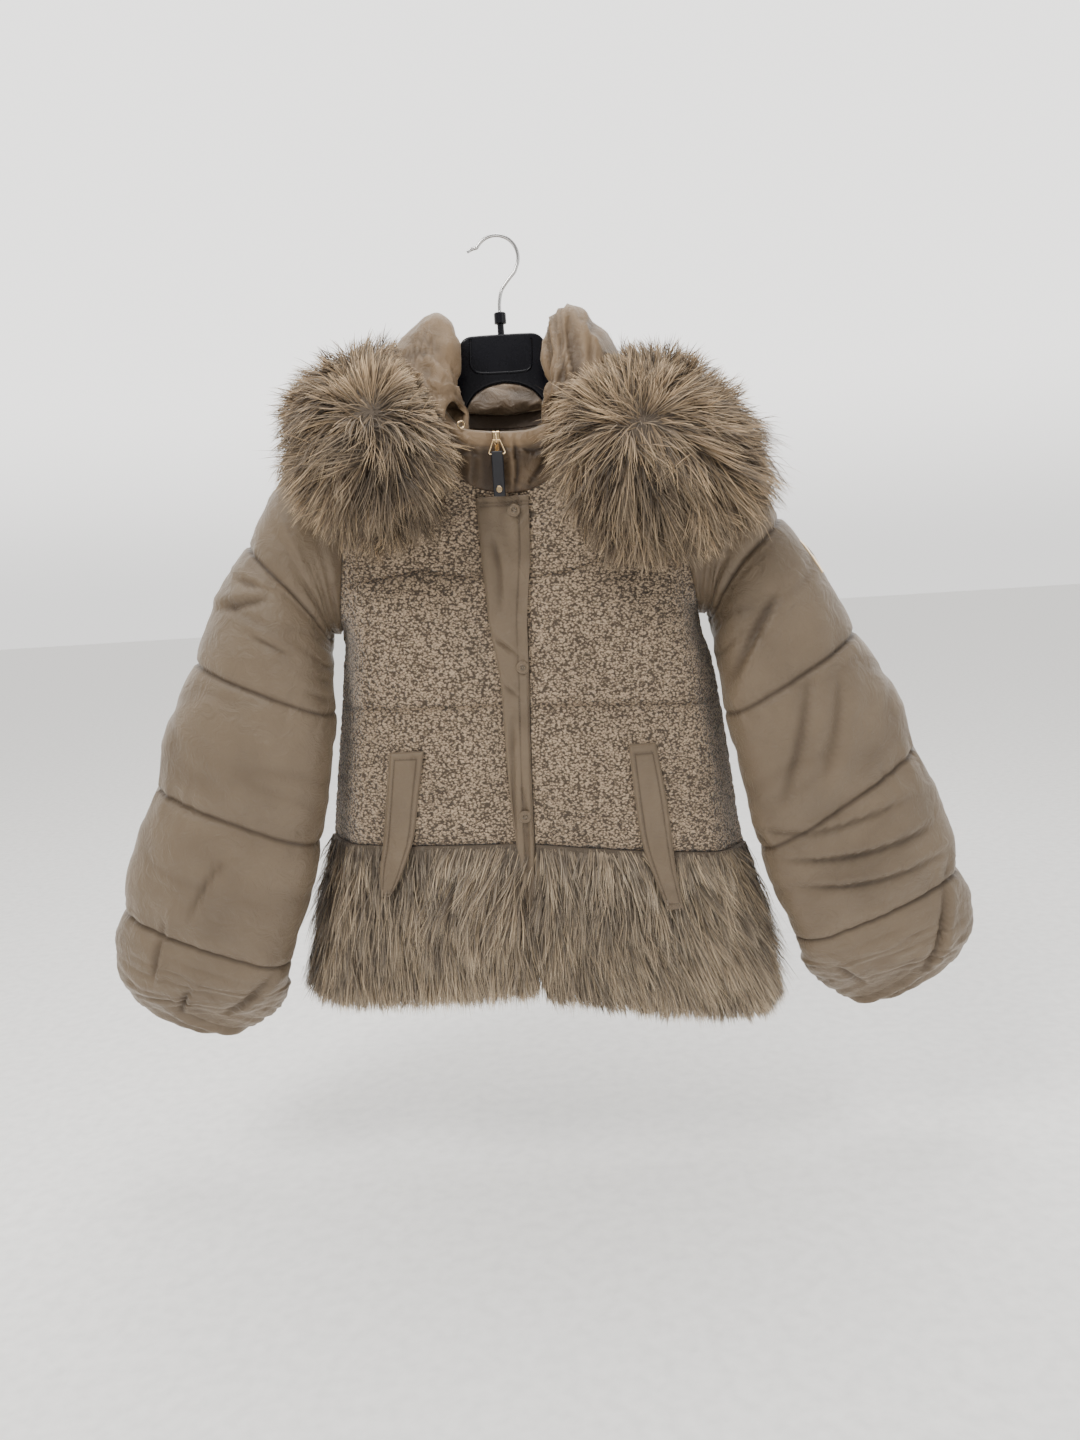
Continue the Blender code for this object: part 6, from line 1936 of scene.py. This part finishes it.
COLLAR_FOLDS = (
    Fold(((6, -268), (9, -240), (8, -214)), 3.0, 2.6),
    Fold(((-40, -262), (-34, -236), (-36, -212)), 1.6, 4.0),
    Fold(((18, -262), (30, -250), (40, -232)), 2.0, 3.6),
    Fold(((12, -224), (26, -230), (44, -224)), 1.6, 3.0),
    Fold(((-58, -232), (-44, -226), (-26, -230)), 1.6, 3.0))
PLACKET_FOLDS = (
    Fold(((-25, -419), (-3, -438)), 2.2, 2.6), Fold(((-13, -503), (-17, -600), (-20, -696)), 1.7, 3.2),
    Fold(((-22, -312), (-16, -352), (-19, -392)), 1.4, 3.4),
    Fold(((-8, -560), (-4, -620), (-7, -680)), 1.3, 2.8),
    Fold(((-14, -700), (-4, -724)), 1.5, 2.4), Fold(((-20, -468), (-6, -480)), 1.5, 2.2))
EYELET = (-45.4, -77.5, -200.0)
CORD_LOOP = ((96, -22, -128), (104, -26, -124), (116, -28, -130), (122, -28, -138), (118, -27, -146))
SLIDER_X = -10.5
EDGE_STEPS = 7          # columns over the placket's free edge
TOOTH = ((0, 0), (1.5, 0), (1.35, 1.0), (0.7, 1.35), (0, 1.4))      # radius, height


def dressed(piece: bpy.types.Object, slot: str, *nodes: str, padded: float = 0.0,
            body: str = BODY) -> bpy.types.Object:
    """Attaches a piece to what it rides on and hides the solids that it stands for."""
    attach(piece, body)
    if nodes:
        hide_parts(*nodes)
    LOG.info("%s: %d faces", piece.name, len(piece.data.polygons))
    return piece


def main() -> None:
    """Builds the jacket from the body outwards, then sets the scene."""
    logging.basicConfig(level=logging.INFO, format="%(name)s: %(message)s")
    form = BodyForm()
    Body(form).make()
    Sleeve(Side.LEFT, form, LEFT_SLEEVE, LEFT_FOLDS).make()
    Sleeve(Side.RIGHT, form, RIGHT_SLEEVE, RIGHT_FOLDS).make()
    Neck(form).make()
    HoodFur(Side.LEFT, LEFT_FUR, (-128, -120, -184), (-98, -152), (0.885, 0.466)).make()
    HoodFur(Side.RIGHT, RIGHT_FUR, (138, -120, -208), (96, -154), (-0.451, 0.893)).make()
    Opening(form).make()
    Hanger().make()
    ZipPull().make()
    finish_node("sleeve_badge", Look.gold)
    Setting().make()


LEFT_SLEEVE = (
    (1, 240, -243, 203, -372, -34, -5, 60), (2, 284, -307, 205, -384, -28, -9, 62),
    (3, 348, -426, 203, -489, 0, -27, 62), (4, 403, -556, 229, -627, 0, -32, 61),
    (5, 452, -691, 274, -759, 0, -32, 59), (6, 464, -748, 287, -795, 0, -32, 55),
    (7, 452, -798, 296, -818, 0, -31, 46), (8, 425, -823, 312, -833, 0, -30, 35),
    (9, 404, -836, 330, -841, 0, -30, 26), (10, 398, -822, 336, -827, 0, -30, 20))
RIGHT_SLEEVE = (
    (1, 240, -246, 206, -368, -40, -2, 60), (2, 287, -311, 209, -376, -38, -3, 62),
    (3, 361, -436, 218, -515, 0, -20, 62), (4, 423, -563, 248, -663, 0, -26, 61),
    (5, 467, -703, 285, -767, 0, -26, 59), (6, 481, -757, 300, -804, 0, -26, 55),
    (7, 468, -806, 314, -828, 0, -25, 46), (8, 440, -830, 332, -845, 0, -24, 35),
    (9, 416, -846, 344, -852, 0, -24, 26), (10, 410, -832, 350, -838, 0, -24, 20))
# half x, y, z along the middle of the fur
LEFT_FUR = (
    (122, -100, -300), (128, -104, -272), (134, -98, -238), (139, -76, -200), (142, -36, -168),
    (140, 14, -162), (122, 62, -176), (84, 104, -198), (40, 124, -212), (0, 129, -216))
RIGHT_FUR = (
    (148, -98, -328), (150, -104, -302), (154, -98, -270), (159, -78, -232), (162, -38, -198),
    (156, 14, -180), (130, 62, -184), (86, 104, -200), (40, 124, -212), (0, 129, -216))


if __name__ == "__main__":
    main()
